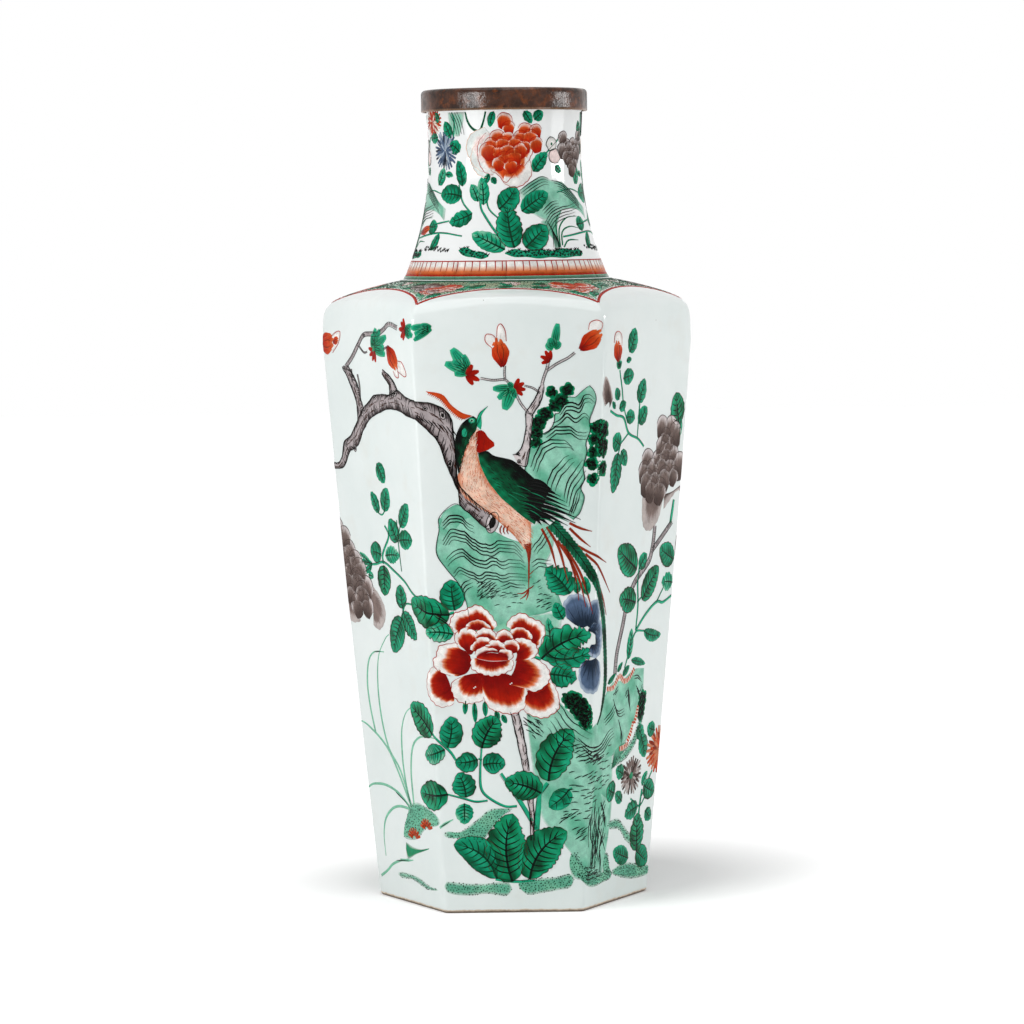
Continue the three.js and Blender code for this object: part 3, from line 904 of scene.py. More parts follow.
def petal(paint, chart, inner, rim, lift, tones, white, soft, scallop, bump, outline, streak=0.12,
          veins=None):
    # inner edge to rim: full colour, then a soft change to the pale scalloped rim
    length = np.hypot(*np.diff(path(rim, 1.0), axis=0).T).sum()
    count = max(6, int(length / 1.0) + 1)
    outer, root = path(rim, count=count), path(inner, count=count)
    out = outer - root
    reach = np.maximum(np.hypot(out[:, 0], out[:, 1]), 0.2)
    along = np.linspace(0, 1, count)
    lobes = max(1, round(length / scallop))
    wave = bump * (np.abs(np.sin(np.pi * lobes * along)) - 0.6)
    outer = outer + out / reach[:, None] * wave[:, None]
    rows = max(5, int(reach.max() / petalForm["step"]) + 1)
    t = np.linspace(0, 1, rows)[:, None]
    grid = root[None] * (1 - t[..., None]) + outer[None] * t[..., None]
    uneven = np.array([hand.uniform(-1, 1) for _ in along])
    whiteAt = 1 - np.minimum(white * (0.92 + 0.05 * uneven), reach * 0.5) / reach
    softAt = whiteAt - np.minimum(soft * (1.1 + 0.16 * uneven), reach * 0.45) / reach
    body = between(tinted(tones[0], 0.5), tinted(tones[1], 0.5), smooth(t, 0.15, 0.75) + 0 * reach)
    body[..., :3] *= 1 + (streak * uneven)[None, :, None] + 0.12 * clouds(grid, 3.0)[..., None]
    middle = 0.3 * softAt + 0.7 * whiteAt
    tint = between(body, tinted(tones[2], 0.6), smooth(t, softAt, middle + 0.02))
    tint = between(tint, tinted(tones[3], 0.9), smooth(t, middle - 0.02, whiteAt + 0.03))
    lay(paint, chart, grid, tint, lift + petalForm["swell"] * np.sin(np.pi * t) + 0 * reach)
    if veins:
        for near, far in zip(root[1:-1:2], outer[1:-1:2]):
            ends = [near + (far - near) * hand.uniform(*span) for span in ((0.05, 0.3), (0.6, 0.92))]
            brush(paint, chart, ends, 0.42, tinted(veins, thin), lift + petalForm["highest"], (0.9, 0.2), 3.0)
    if outline:
        brush(paint, chart, outer, 0.4, tinted(outline, thin), lift + petalForm["rimLine"], (0.5, 0.5), 1.0)


paleWood = ("bark", "barkPale")


def trunk(coats, chart, upper, lower, hatch=0.8, tones=("barkDark", "bark"), lift=level["stem"]):
    # a limb between two edges: dark along them, hatched inwards, streaked along the middle
    paint, ink = coats
    grid = band(upper, lower, 1.1)
    s = np.linspace(0, 1, grid.shape[1])[None, :] + 0 * grid[..., 0]
    shade = smooth(np.sin(np.pi * s ** 0.8) + 0.35 * clouds(grid, 2.6), 0.1, 0.8)
    lay(paint, chart, grid, between(tinted(tones[0]), tinted(tones[1]), shade), lift)
    for edge in (grid[:, 0], grid[:, -1]):
        draw(ink, chart, jitter(edge[::2], 0.2), 0.6, "ink", (0.6, 0.6))
    rows = len(grid)
    for number in range(1, rows - 1):
        for start, end in ((0.0, 0.3), (1.0, 0.5)):
            if hand.random() < hatch:
                reach = start + (end - start) * hand.uniform(0.3, 1.3)
                to = grid[min(rows - 1, number + hand.choice((1, 2, 3)))]
                a = grid[number, 0] + (grid[number, -1] - grid[number, 0]) * start
                b = to[0] + (to[-1] - to[0]) * reach
                draw(ink, chart, [a, (a + b) / 2 + hand.uniform(-0.2, 0.2), b], 0.36, "ink", (1, 0.2), 2.0)
    for _ in range(int(rows * hatch / 2)):
        first = hand.randrange(0, max(1, rows - 4))
        lane, reach = hand.uniform(0.25, 0.75), min(rows - 1, first + hand.randrange(3, 7))
        walk = [row[0] + (row[-1] - row[0]) * lane for row in grid[first:reach + 1]]
        if len(walk) > 2:
            draw(ink, chart, jitter(walk, 0.2), 0.5, "brownInk", (0.3, 0.2), 1.5)


def twig(coats, chart, points, width, tone="bark"):
    # a thin hatched stem
    paint, ink = coats
    brush(paint, chart, points, width, tinted(tone), level["stem"], (1, 0.6))
    line = path(points, 1.3)
    side = sideways(line) * width * 0.5
    for edge in (line + side, line - side):
        draw(ink, chart, edge, 0.3, "ink", (0.7, 0.7))
    for here, out in zip(line[1:-1], side[1:-1]):
        if hand.random() < 0.75:
            draw(ink, chart, [here + out, here + out * hand.uniform(-0.6, 0.2)], 0.28, "ink", (1, 0.5))


def knot(coats, chart, centre, size, tilt=0.0):
    # an eye in the bark: a dark hollow in a pale ring
    paint, ink = coats
    turn = np.linspace(0, 2 * math.pi, 15)
    tilt = math.radians(tilt)
    shape = np.stack([np.cos(turn) * size[0] / 2, np.sin(turn) * size[1] / 2], -1)
    rotate = np.array([[math.cos(tilt), math.sin(tilt)], [-math.sin(tilt), math.cos(tilt)]])
    for scale, tone, lift in ((1.0, "barkPale", level["leaf"] + 0.01), (0.55, "ink", level["leaf"] + 0.02)):
        ring = np.array(centre) + shape @ rotate * scale
        lay(paint, chart, np.stack([ring[:8], ring[:6:-1]], 1), tinted(tone, thin), lift)
    ring = np.array(centre) + shape @ rotate
    draw(ink, chart, ring, 0.4, "ink", (0.7, 0.7), 0.9)


def waves(ink, chart, points, times, shift, width, ripple=0.0):
    # a crest line and its echoes below it, each shorter and thinner; ripple makes it a row of cusps
    crest = path(points, 0.9)
    reach = np.arange(len(crest)) * 0.9
    swing = reach / 9.0 + 0.35 * np.sin(reach / 9 + hand.uniform(0, 6)) + hand.random()
    crest[:, 1] += ripple * (1 - np.abs(np.sin(np.pi * swing)) ** 0.7)
    for number in range(times):
        first, last = (int(len(crest) * 0.06 * number * hand.random()) for _ in range(2))
        line = crest[first:len(crest) - last] + np.array(shift) * number
        draw(ink, chart, jitter(line, 0.07), 1.1 * width * 0.92 ** number, "ink", (0.35, 0.2), 0.9)


def dashes(ink, chart, polygon, space, length, slope, width=0.6, tone="ink"):
    # loose short strokes inside a shape, leaning by slope degrees
    for x, y in scattered(polygon, space):
        turn = math.radians(slope + hand.uniform(-14, 14))
        reach = length * hand.uniform(0.6, 1.2) / 2
        dx, dy = math.cos(turn) * reach, math.sin(turn) * reach
        draw(ink, chart, [(x - dx, y - dy), (x, y + 0.2), (x + dx, y + dy)], width, tone, (0.4, 0.2))


def moss(coats, chart, polygon, space=1.7):
    # a bushy clump: round green touches, and black dabs that leave its rim green
    paint, ink = coats
    dots(paint, chart, scattered(polygon, space * 1.1), space * 1.15, tinted("emerald"), level["moss"], 9)
    dots(paint, chart, scattered(polygon, space), space * 0.75, tinted("deepGreen"), level["moss"] + 0.006, 8)
    for x, y in scattered(polygon, space * 1.15):
        if all(inside(polygon, x + dx, y + dy) for dx, dy in ((0.9, 0), (-0.9, 0), (0, 0.9), (0, -0.9))):
            for _ in range(4):
                turn, reach = hand.uniform(0, math.pi), hand.uniform(0.5, 1.2)
                dx, dy = reach * math.cos(turn), reach * math.sin(turn)
                draw(ink, chart, [(x - dx, y - dy), (x + dx, y + dy)], 0.9, "black", (0.5, 0.5))


def mossBalls(coats, chart, balls):
    # each: x, z, radius
    for x, z, radius in balls:
        turns = np.linspace(0, 2 * math.pi, 11)[:-1]
        moss(coats, chart, [(x + radius * math.cos(a), z + radius * math.sin(a)) for a in turns], 1.5)


def sprigs(ink, chart, polygon, space, size):
    # tiny black tufts of three strokes
    for x, y in scattered(polygon, space):
        for lean in (-0.6, 0.1, 0.7):
            tip = (x + lean * size, y + size * hand.uniform(0.7, 1.2))
            draw(ink, chart, [(x, y), tip], 0.42, "black", (1, 0.3))


def stipple(coats, chart, edgeA, edgeB, space=1.6):
    # mossy ground: a pale wash under black or dark green dots
    paint, ink = coats
    first, second = np.array(edgeA, float), np.array(edgeB, float)
    tips = (first[[0, -1]] + second[[0, -1]]) / 2
    tips += 0.3 * (tips - (first[[1, -2]] + second[[1, -2]]) / 2)
    edgeA, edgeB = (np.vstack([tips[0], side, tips[1]]) for side in (first, second))
    wash(paint, chart, edgeA, edgeB, "turquoiseDeep", "paleGreen", "ground", soft=0.2)
    shape = [tuple(p) for p in edgeA] + [tuple(p) for p in edgeB][::-1]
    dots(ink, chart, scattered(shape, space), 0.36, tinted("greenInk", thin), level["line"] - 0.02, 5)


def blossom(paint, chart, centre, size, aim, petals):
    # a small red flower seen from its side: short fat strokes fanned about its aim, in degrees
    for number in range(petals):
        turn = math.radians(aim + (number - (petals - 1) / 2) * 38 + hand.uniform(-6, 6))
        reach = size * hand.uniform(0.85, 1.1)
        tip = (centre[0] + math.cos(turn) * reach, centre[1] + math.sin(turn) * reach)
        line = path([centre, ((centre[0] + tip[0]) / 2, (centre[1] + tip[1]) / 2), tip], count=7)
        half = size * 0.21 * np.sin(np.pi * np.linspace(0.12, 0.93, 7)) ** 0.6
        side = sideways(line) * half[:, None]
        grid = np.stack([line + side, line + side * 0.3, line - side * 0.3, line - side], 1)
        shade = np.linspace(0, 1, 7)[:, None] + np.zeros((1, 4))
        lay(paint, chart, grid, between(tinted("deepRed", thin), tinted("ironRed", thin), shade),
            level["flower"] + 0.004 * number)


def budOf(coats, chart, base, tip, width, whites=()):
    # a magnolia bud: red body, and white petals drawn with a red line
    paint, ink = coats
    base, tip = np.array(base, float), np.array(tip, float)
    for outline in whites:
        line = path(outline, 0.9)
        middle = (line[0] + line[-1]) / 2
        grid = np.stack([line, line * 0.5 + middle * 0.5, np.repeat(middle[None], len(line), 0)
                + (line - middle) * 0.04], 1)
        lay(paint, chart, grid, tinted("petalWhite", 0.9), level["leaf"])
        brush(paint, chart, line, 0.42, tinted("ironRed", thin), level["flower"] + 0.05, (0.7, 0.7), 0.9)
    length = math.hypot(*(tip - base))
    across = np.array([-(tip - base)[1], (tip - base)[0]]) / length
    for number, (lean, share) in enumerate(((-0.34, 0.82), (0.34, 0.9), (-0.14, 0.98), (0.16, 1.04),
            (0.0, 0.9))):
        t = np.linspace(0, 1, 9)
        sway = lean * width * np.sin(np.pi * t * 0.75)
        spine = base + (tip - base) * share * t[:, None] + across * sway[:, None]
        half = width * 0.17 * np.sin(np.pi * (0.12 + 0.8 * t)) ** 0.7 * (1
                + 0.16 * np.sin(13 * t + 2 * number))
        side = sideways(spine) * half[:, None]
        s = np.linspace(1, -1, 5)
        grid = spine[:, None] + side[:, None] * s[None, :, None]
        tint = between(tinted("deepRed", thin), tinted("ironRed", thin), smooth(t[:, None] + 0 * s, 0, 0.4))
        tint = between(tint, tinted("vermilion", thin), smooth(t[:, None] + 0.3 * np.abs(s), 0.35, 0.9))
        tint = between(tint, tinted("orange", thin), 0.9 * smooth(t[:, None] + 0 * s, 0.78, 1.05))
        lay(paint, chart, grid, tint, level["flower"] + 0.006 * number)
    for lean in (-0.2, 0.15):
        draw(ink, chart, [base + (tip - base) * 0.1, base + (tip - base) * 0.5 + across * lean * width,
             base + (tip - base) * 0.8 + across * lean * width * 0.6], 0.28, "brownInk", (0.5, 0.3))


def tuft(coats, chart, centre, aims):
    # a young leaf cluster: rounded lobes with a few dark lines
    paint, ink = coats
    for number, (aim, reach, fat) in enumerate(aims):
        turn = math.radians(aim)
        tip = np.array(centre) + np.array([math.cos(turn), math.sin(turn)]) * reach
        line = path([centre, tuple(tip)], count=8)
        t = np.linspace(0, 1, 8)
        side = sideways(line) * (fat / 2 * np.sin(np.pi * (0.16 + 0.76 * t)) ** 0.6)[:, None]
        s = np.linspace(1, -1, 5)
        tint = between(tinted("emerald"), tinted("leafGreen"), smooth(t[:, None] + 0 * s, 0.1, 0.9))
        tint = between(tint, tinted("paleGreen"), 0.4 * smooth(np.abs(s)[None] + t[:, None] * 0.5, 0.9, 1.4))
        lay(paint, chart, line[:, None] + side[:, None] * s[None, :, None], tint,
            level["leaf"] + 0.004 * number)
        for shift in (-0.45, 0.0, 0.45):
            draw(ink, chart,
                 [line[1] + side[1] * shift, line[4] + side[4] * shift, line[6] + side[6] * shift * 0.7],
                 0.32, "greenInk", (0.8, 0.2))


def disc(coat, chart, centre, reach, tint, lift, squash=1.0):
    turn = np.radians(np.linspace(6, 174, 9))
    upper = [(centre[0] + reach * math.cos(a), centre[1] + reach * squash * math.sin(a)) for a in turn]
    lower = [(x, 2 * centre[1] - y) for x, y in upper]
    lay(coat, chart, band(upper, lower, 2.0), tint, lift)


flowerTones = dict(red=("deepRed", "ironRed", "orange", "petalWhite", "ironRed", None),
        scarlet=("ironRed", "vermilion", "orange", "petalWhite", "ironRed", None),
        aubergine=("aubergineDark", "aubergine", "aubergineLight", "barkPale", "aubergineDark",
        "aubergineDark"), blue=("blueDark", "blue", "blue", "blueLight", None, "blueDark"))


def shellFlower(paint, chart, blobs, radius, kind, white, lift=level["flower"]):
    # a heaped head: rows of shell petals from its top down; each blob: x, z, half width, half height
    *tones, outline, veins = flowerTones[kind]
    spots = []
    top, foot = max(blob[1] + blob[3] for blob in blobs), min(blob[1] - blob[3] for blob in blobs)
    left, right = min(blob[0] - blob[2] for blob in blobs), max(blob[0] + blob[2] for blob in blobs)
    for row, z in enumerate(np.arange(top, foot, -0.8 * radius)):
        for x in np.arange(left + 0.75 * radius * (row % 2), right, 1.5 * radius):
            place = (x + hand.uniform(-0.2, 0.2) * radius, z + hand.uniform(-0.2, 0.2) * radius)
            if any(((place[0] - cx) / rx) ** 2 + ((place[1] - cz) / rz) ** 2 < 1 for cx, cz, rx, rz in blobs):
                spots.append((*place, radius * hand.uniform(0.85, 1.2)))
    for number, (x, z, size) in enumerate(spots):
        lean = math.radians(hand.uniform(-24, 24))
        aim, beside = np.array((math.sin(lean), math.cos(lean))), np.array((math.cos(lean), -math.sin(lean)))
        turns, middle = np.radians(np.linspace(172, 8, 7)), np.array((x, z))
        rim = [middle + size * (beside * math.cos(a) + aim * math.sin(a)) for a in turns]
        inner = [middle + size * (beside * b - aim * (1 - 0.2 * abs(b))) for b in (-0.5, 0, 0.5)]
        petal(paint, chart, inner, rim, lift + 0.07 * number / len(spots), tones, white, size * 0.4,
              size * 1.3, 0.25, outline, 0.14, veins=veins)


def daisy(paint, chart, centre, radius, tone, under, squash=0.85, eye="emerald"):
    # a chrysanthemum: rings of narrow petals round an eye
    centre = np.array(centre, float)
    if under:
        disc(paint, chart, centre, radius * 0.93, tinted(under, 0.6), level["leaf"], squash)
    for ring, (count, near, far) in enumerate(((26, 0.5, 1.0), (20, 0.28, 0.76), (13, 0.04, 0.5))):
        for number in range(count):
            aim = 2 * math.pi * (number + 0.5 * ring) / count + hand.uniform(-0.05, 0.05)
            go = np.array((math.cos(aim), math.sin(aim) * squash)) * radius
            brush(paint, chart, [centre + go * near, centre + go * far * hand.uniform(0.9, 1.05)],
                  radius * 0.13, tinted(hand.choice(tone.split()), thin), level["flower"] + 0.012 * ring,
                  (0.6, 0.7), 2.4)
    if eye:
        disc(paint, chart, centre, radius * 0.17, tinted(eye), level["flower"] + 0.05)


def flecks(paint, chart, points, size):
    # iron-red scallops along the edge of a rock, each flick beside the last
    brush(paint, chart, points, size * 1.05, tinted("straw", 0.6), level["leaf"], (0.8, 0.8))
    line = path(points, 1.9)
    for here, out in zip(line, sideways(line)):
        a = here - out * size * 0.5 * hand.uniform(0.7, 1.1)
        b = here + out * size * 0.5 * hand.uniform(0.7, 1.1)
        brush(paint, chart, [a, (a + b) / 2 + hand.uniform(-0.2, 0.2), b], 1.15, tinted("vermilion", thin),
              level["flower"] + 0.02, (0.5, 0.9), 1.2)


def blades(paint, chart, lines, width=1.6, tone="paleGreen"):
    # long grass
    for number, points in enumerate(lines):
        brush(paint, chart, points, width, tinted(tone), level["stem"] - 0.004 * (number % 3), (1, 0.35), 2.0)


def manyLeaves(coats, chart, leaves):
    # each: base, tip, width, tone
    for number, (base, tip, width, tone) in enumerate(leaves):
        size = math.hypot(tip[0] - base[0], tip[1] - base[1])
        leaf(coats, chart, base, tip, width, tone, hand.uniform(-0.08, 0.08) * size, max(3, int(size / 3.4)),
             0.03 + 0.05 * (number % 3 == 1), level["leaf"] + 0.002 * (number % 4))


def stems(coats, chart, lines, end=0.7, gap=2.2, beside=0.42, fine=0.28):
    # green stems, each with a thin dark line along one side
    paint, ink = coats
    for points, width in lines:
        brush(paint, chart, points, width, tinted("leafGreen"), level["stem"], (0.9, end))
        line = path(points, gap)
        draw(ink, chart, line + sideways(line) * width * beside, fine, "greenInk")


# front face: a long-tailed bird on a rock, with a red peony
def redPeony(coats, chart):
    # each petal: inner edge, rim, white width, soft width; from the back of the flower to its bowl
    petals = [([(-39, 143), (-37, 139), (-35, 133), (-33.5, 127)],
               [(-45.5, 146.5), (-50, 142), (-52, 136), (-50.5, 129.5), (-46, 125.5), (-41, 122.5),
                (-34, 124)], 4.2, 1.8),
              ([(-27, 141), (-21, 142), (-14, 141)],
               [(-30, 139.8), (-34.5, 137), (-35, 131.5), (-31.5, 126), (-25, 124.2), (-17, 126)], 5.2,
               2.6), ([(8, 131), (14, 134), (21, 136)],
              [(6.5, 120), (11, 117), (18, 115.2), (23, 117.5), (27, 121), (26.5, 129), (23.5, 136)], 4.2,
              3.4), ([(-18, 140), (-6, 142), (6, 138)],
              [(-16.5, 127.5), (-13, 121.5), (-7, 119), (0, 118), (6, 120.5), (9, 126), (8.8, 131.5)], 4.6,
              2.8), ([(-4, 136), (1, 143), (3, 151)],
              [(8.5, 132.5), (13.5, 130.5), (19, 133), (22, 139), (20.5, 145), (14.5, 150)], 5.6, 4.6),
              ([(-31, 157), (-25, 154), (-23.5, 148), (-26, 142.5), (-31, 140.5)],
               [(-31, 160), (-36.5, 159.5), (-42, 158), (-43.5, 153), (-45.5, 149.5), (-43, 144),
                (-36, 141)], 5.2, 3.4),
              ([(-29, 165), (-24, 167.5), (-16, 168), (-11, 167)],
               [(-32.5, 165), (-35.5, 170.5), (-33, 177), (-27, 179), (-20, 182), (-14.5, 179),
                (-10.5, 174.5), (-8, 170)], 3.4, 1.6),
              ([(-25, 166), (-19, 167.5), (-12.5, 166.5)],
               [(-27, 169.5), (-25.5, 174), (-20, 176), (-15, 174), (-11.5, 169.5)], 3.2, 1.8),
              ([(1, 167), (6, 164), (11, 161), (14.5, 158)],
               [(-3, 169.5), (-0.5, 174), (6, 177), (11.5, 174), (17, 171.5), (19.5, 166.5), (17.5, 158.5)],
               3.2, 1.8),
              ([(-1, 162), (5, 161.5), (10.5, 161)],
               [(-1, 166.5), (2.5, 170.5), (7.5, 171), (11.5, 167.5), (12.5, 162.5)], 3.4, 1.8),
              ([(2, 149), (3, 153), (1, 157)],
               [(11.5, 150), (15, 153.5), (14.5, 157.5), (11, 161), (6, 163), (1, 161.5)], 3.4, 2.0),
              ([(-28, 157), (-24, 153), (-21, 156)],
               [(-31.5, 159), (-33, 163.5), (-29.5, 168.5), (-24.5, 169), (-19.5, 165.5)], 3.4, 1.8),
              ([(-20, 162), (-14, 162.5), (-9.5, 161)],
               [(-21, 165.5), (-17, 168.5), (-12, 168), (-8.5, 164)], 2.6, 1.4),
              ([(-9, 160.5), (-4, 160), (0.5, 161)], [(-9.5, 163.5), (-6.5, 167), (-2, 167), (1, 163.5)],
               2.4, 1.4),
              ([(-22, 155), (-18, 155), (-13, 157)],
               [(-24.5, 156.5), (-22.5, 161.5), (-17.5, 164), (-12, 162)], 2.4, 1.4),
              ([(-4, 155), (0, 153.5), (3, 154)], [(-5, 159.5), (-1, 162), (3.5, 160.5), (4.8, 157)], 2.2,
               1.2), ([(-15, 155.5), (-9, 154), (-4, 154.5)],
              [(-16.5, 158), (-12.5, 161), (-8, 161.5), (-3, 158)], 2.6, 1.2),
              ([(-20, 151.5), (-14, 154), (-8, 154.5)],
               [(-21.5, 153.5), (-18.5, 157.2), (-13, 157.8), (-9, 156.5)], 2.6, 0.8),
              ([(-8, 153.5), (-4, 152), (-3, 150)], [(-6, 156.5), (-1.5, 156), (1, 152.5), (-1, 149.5)],
               2.6, 0.8), ([(-19, 153), (-11, 154), (-3, 152)], [(-21, 150.5), (-12, 148.5), (-1.5, 149)],
              0.3, 0.4),
              ([(-20.5, 151), (-12, 149.2), (-2, 149.5)],
               [(-23.5, 150.5), (-23.5, 145.5), (-18.5, 142), (-11, 140.2), (-4, 142), (0.5, 145),
                (0.8, 149.5)], 3.0, 1.8)]
    for number, (inner, rim, white, soft) in enumerate(petals):
        flat = white < 1   # the shadow in the mouth of the bowl
        petal(coats[0], chart, inner, rim, level["flower"] + 0.0034 * number, flowerTones["red"][:4], white,
              soft, 4.2, 0 if flat else 0.8, None if flat else "ironRed")
    for x, z in ((-22, 133.5), (-1, 135.5)):
        dots(coats[0], chart, [(x, z), (x + 0.8, z + 0.6)], 0.45, tinted("petalWhite"), 0.2, 6)


def frontLeaves(coats, chart):
    # base, tip, width, tone, bend, veins, notch
    leaves = [((-1, 18.5), (-0.5, 59), 25, "dark", 3.8, 9, 0.05),
              ((9, 20), (31, 48), 23, "dark", 5.0, 8, 0.05),
              ((-10, 20.5), (-35, 41), 19, "mid", -5.5, 7, 0.0),
              ((-28.5, 65.5), (-28.5, 53), 11, "light", 0, 5, 0.06),
              ((-27.5, 69), (-32, 83.5), 14.5, "dark", -1, 5, 0.1),
              ((-38, 71), (-65, 70), 18.5, "dark", 1, 5, 0.04),
              ((-20.5, 91.5), (-33.5, 90), 12.5, "mid", 1, 4, 0.08),
              ((-17.5, 88), (-4.5, 88), 13, "dark", 1, 5, 0.06),
              ((16, 71), (-5, 77.5), 18, "dark", -1.5, 6, 0.08),
              ((20.5, 78), (35, 108), 21, "dark", 3.4, 6, 0.06),
              ((32.5, 73), (20.5, 62.5), 12, "mid", 1, 3, 0),
              ((-38, 98.5), (-36, 117), 14, "mid", -1.5, 5, 0.05),
              ((-48, 106), (-73, 121), 19, "dark", -1, 6, 0.05),
              ((-39.5, 97.5), (-57.5, 93), 13, "light", 1, 7, 0.1),
              ((-18, 98), (-8, 116), 18, "dark", 1.5, 6, 0.06),
              ((-32.5, 179), (-34.5, 197), 15, "dark", 0.5, 5, 0.04),
              ((-35.5, 176.5), (-67, 184), 19, "dark", 2, 5, 0.04),
              ((-33.5, 165), (-51, 166), 12.5, "light", -1, 5, 0.12),
              ((34, 188), (20, 203), 17, "mid", -1, 6, 0.12),
              ((17, 150), (46, 164), 20, "dark", 3, 5, 0.14),
              ((20, 152), (48, 156), 13, "dark", -4, 4, 0.14),
              ((22, 141), (37.5, 138), 15, "dark", 0.5, 5, 0.12),
              ((30, 173), (25.5, 183), 8.5, "mid", 0.5, 3, 0.08),
              ((38, 188), (38, 197), 5, "mid", 0, 2, 0.05),
              ((44, 187), (42.5, 198), 5.5, "mid", 0, 2, 0.05),
              ((22.5, 160), (21, 174), 6, "light", 0, 3, 0.08)]
    for base, tip, width, tone, bend, veins, notch in leaves:
        leaf(coats, chart, base, tip, width, tone, bend, veins, notch)
    for line in ([(-27, 126), (-27.5, 118)], [(-22, 125), (-21.5, 113)], [(-16, 125.5), (-15.5, 116.5)],
                 [(-9.5, 120), (-8, 114)], [(-6, 117.5), (-3.5, 112.5)]):
        leaf(coats, chart, line[0], line[1], 3.2, "mid", 0, 1, 0, level["leaf"] - 0.006)


def frontStems(coats, chart):
    lines = (([(13.5, 49), (14, 58), (15.5, 72)], 3.4), ([(13, 50), (4, 66), (-7, 83)], 2.6),
             ([(2, 63.5), (-5, 63.5), (-14, 68.5), (-18.5, 74), (-19, 84), (-18, 98)], 1.5),
             ([(-15, 67), (-22, 66.5), (-29, 68.5), (-38, 71)], 1.2), ([(-18, 91), (-20, 92)], 1.2),
             ([(-33, 91), (-37, 97), (-48, 107)], 1.5), ([(20, 77), (15.5, 71)], 2.4),
             ([(-33, 178), (-36, 177)], 1.6), ([(17, 150), (13, 151.5)], 1.8),
             ([(34, 74), (31, 72)], 1.0), ([(-11, 20), (0, 18.5), (12, 19)], 1.6))
    stems(coats, chart, lines, end=0.6, gap=2.0, beside=0.45, fine=0.3)
    # the woody stem of the peony
    trunk(coats, chart, [(-1, 119), (2, 105), (4.5, 92), (6, 84)],
          [(3.5, 119), (6.5, 105), (8.5, 92), (9.5, 84)], 0.4, paleWood)
    trunk(coats, chart, [(8, 68), (9.6, 58), (9.8, 43)], [(11.5, 68), (12, 58), (11.8, 43)], 0.4, paleWood)
    trunk(coats, chart, [(-36, 170.5), (-45, 176.5)], [(-37.5, 173), (-44.5, 178)], 0.35, paleWood)


def frontGround(coats, chart):
    stipple(coats, chart, [(-39, 19), (-30, 18), (-18, 17.5), (-4.5, 18.5)],
            [(-38, 12), (-28, 10.5), (-16, 11.5), (-5, 10)])
    stipple(coats, chart, [(3, 19.5), (14, 20.5), (24, 21), (32.5, 23)],
            [(8, 10.5), (16, 11.5), (25, 13), (32.5, 14.5)])
    stipple(coats, chart, [(-38.5, 49), (-30, 49), (-20, 57), (-13, 62), (-1, 62)],
            [(-38, 45), (-28, 44.5), (-19, 42.5), (-14, 48), (-6, 58)])
    stipple(coats, chart, [(33.5, 35), (37, 36), (39, 30), (44, 26)],
            [(32.5, 25), (35, 20), (41, 18.5), (47, 16)])


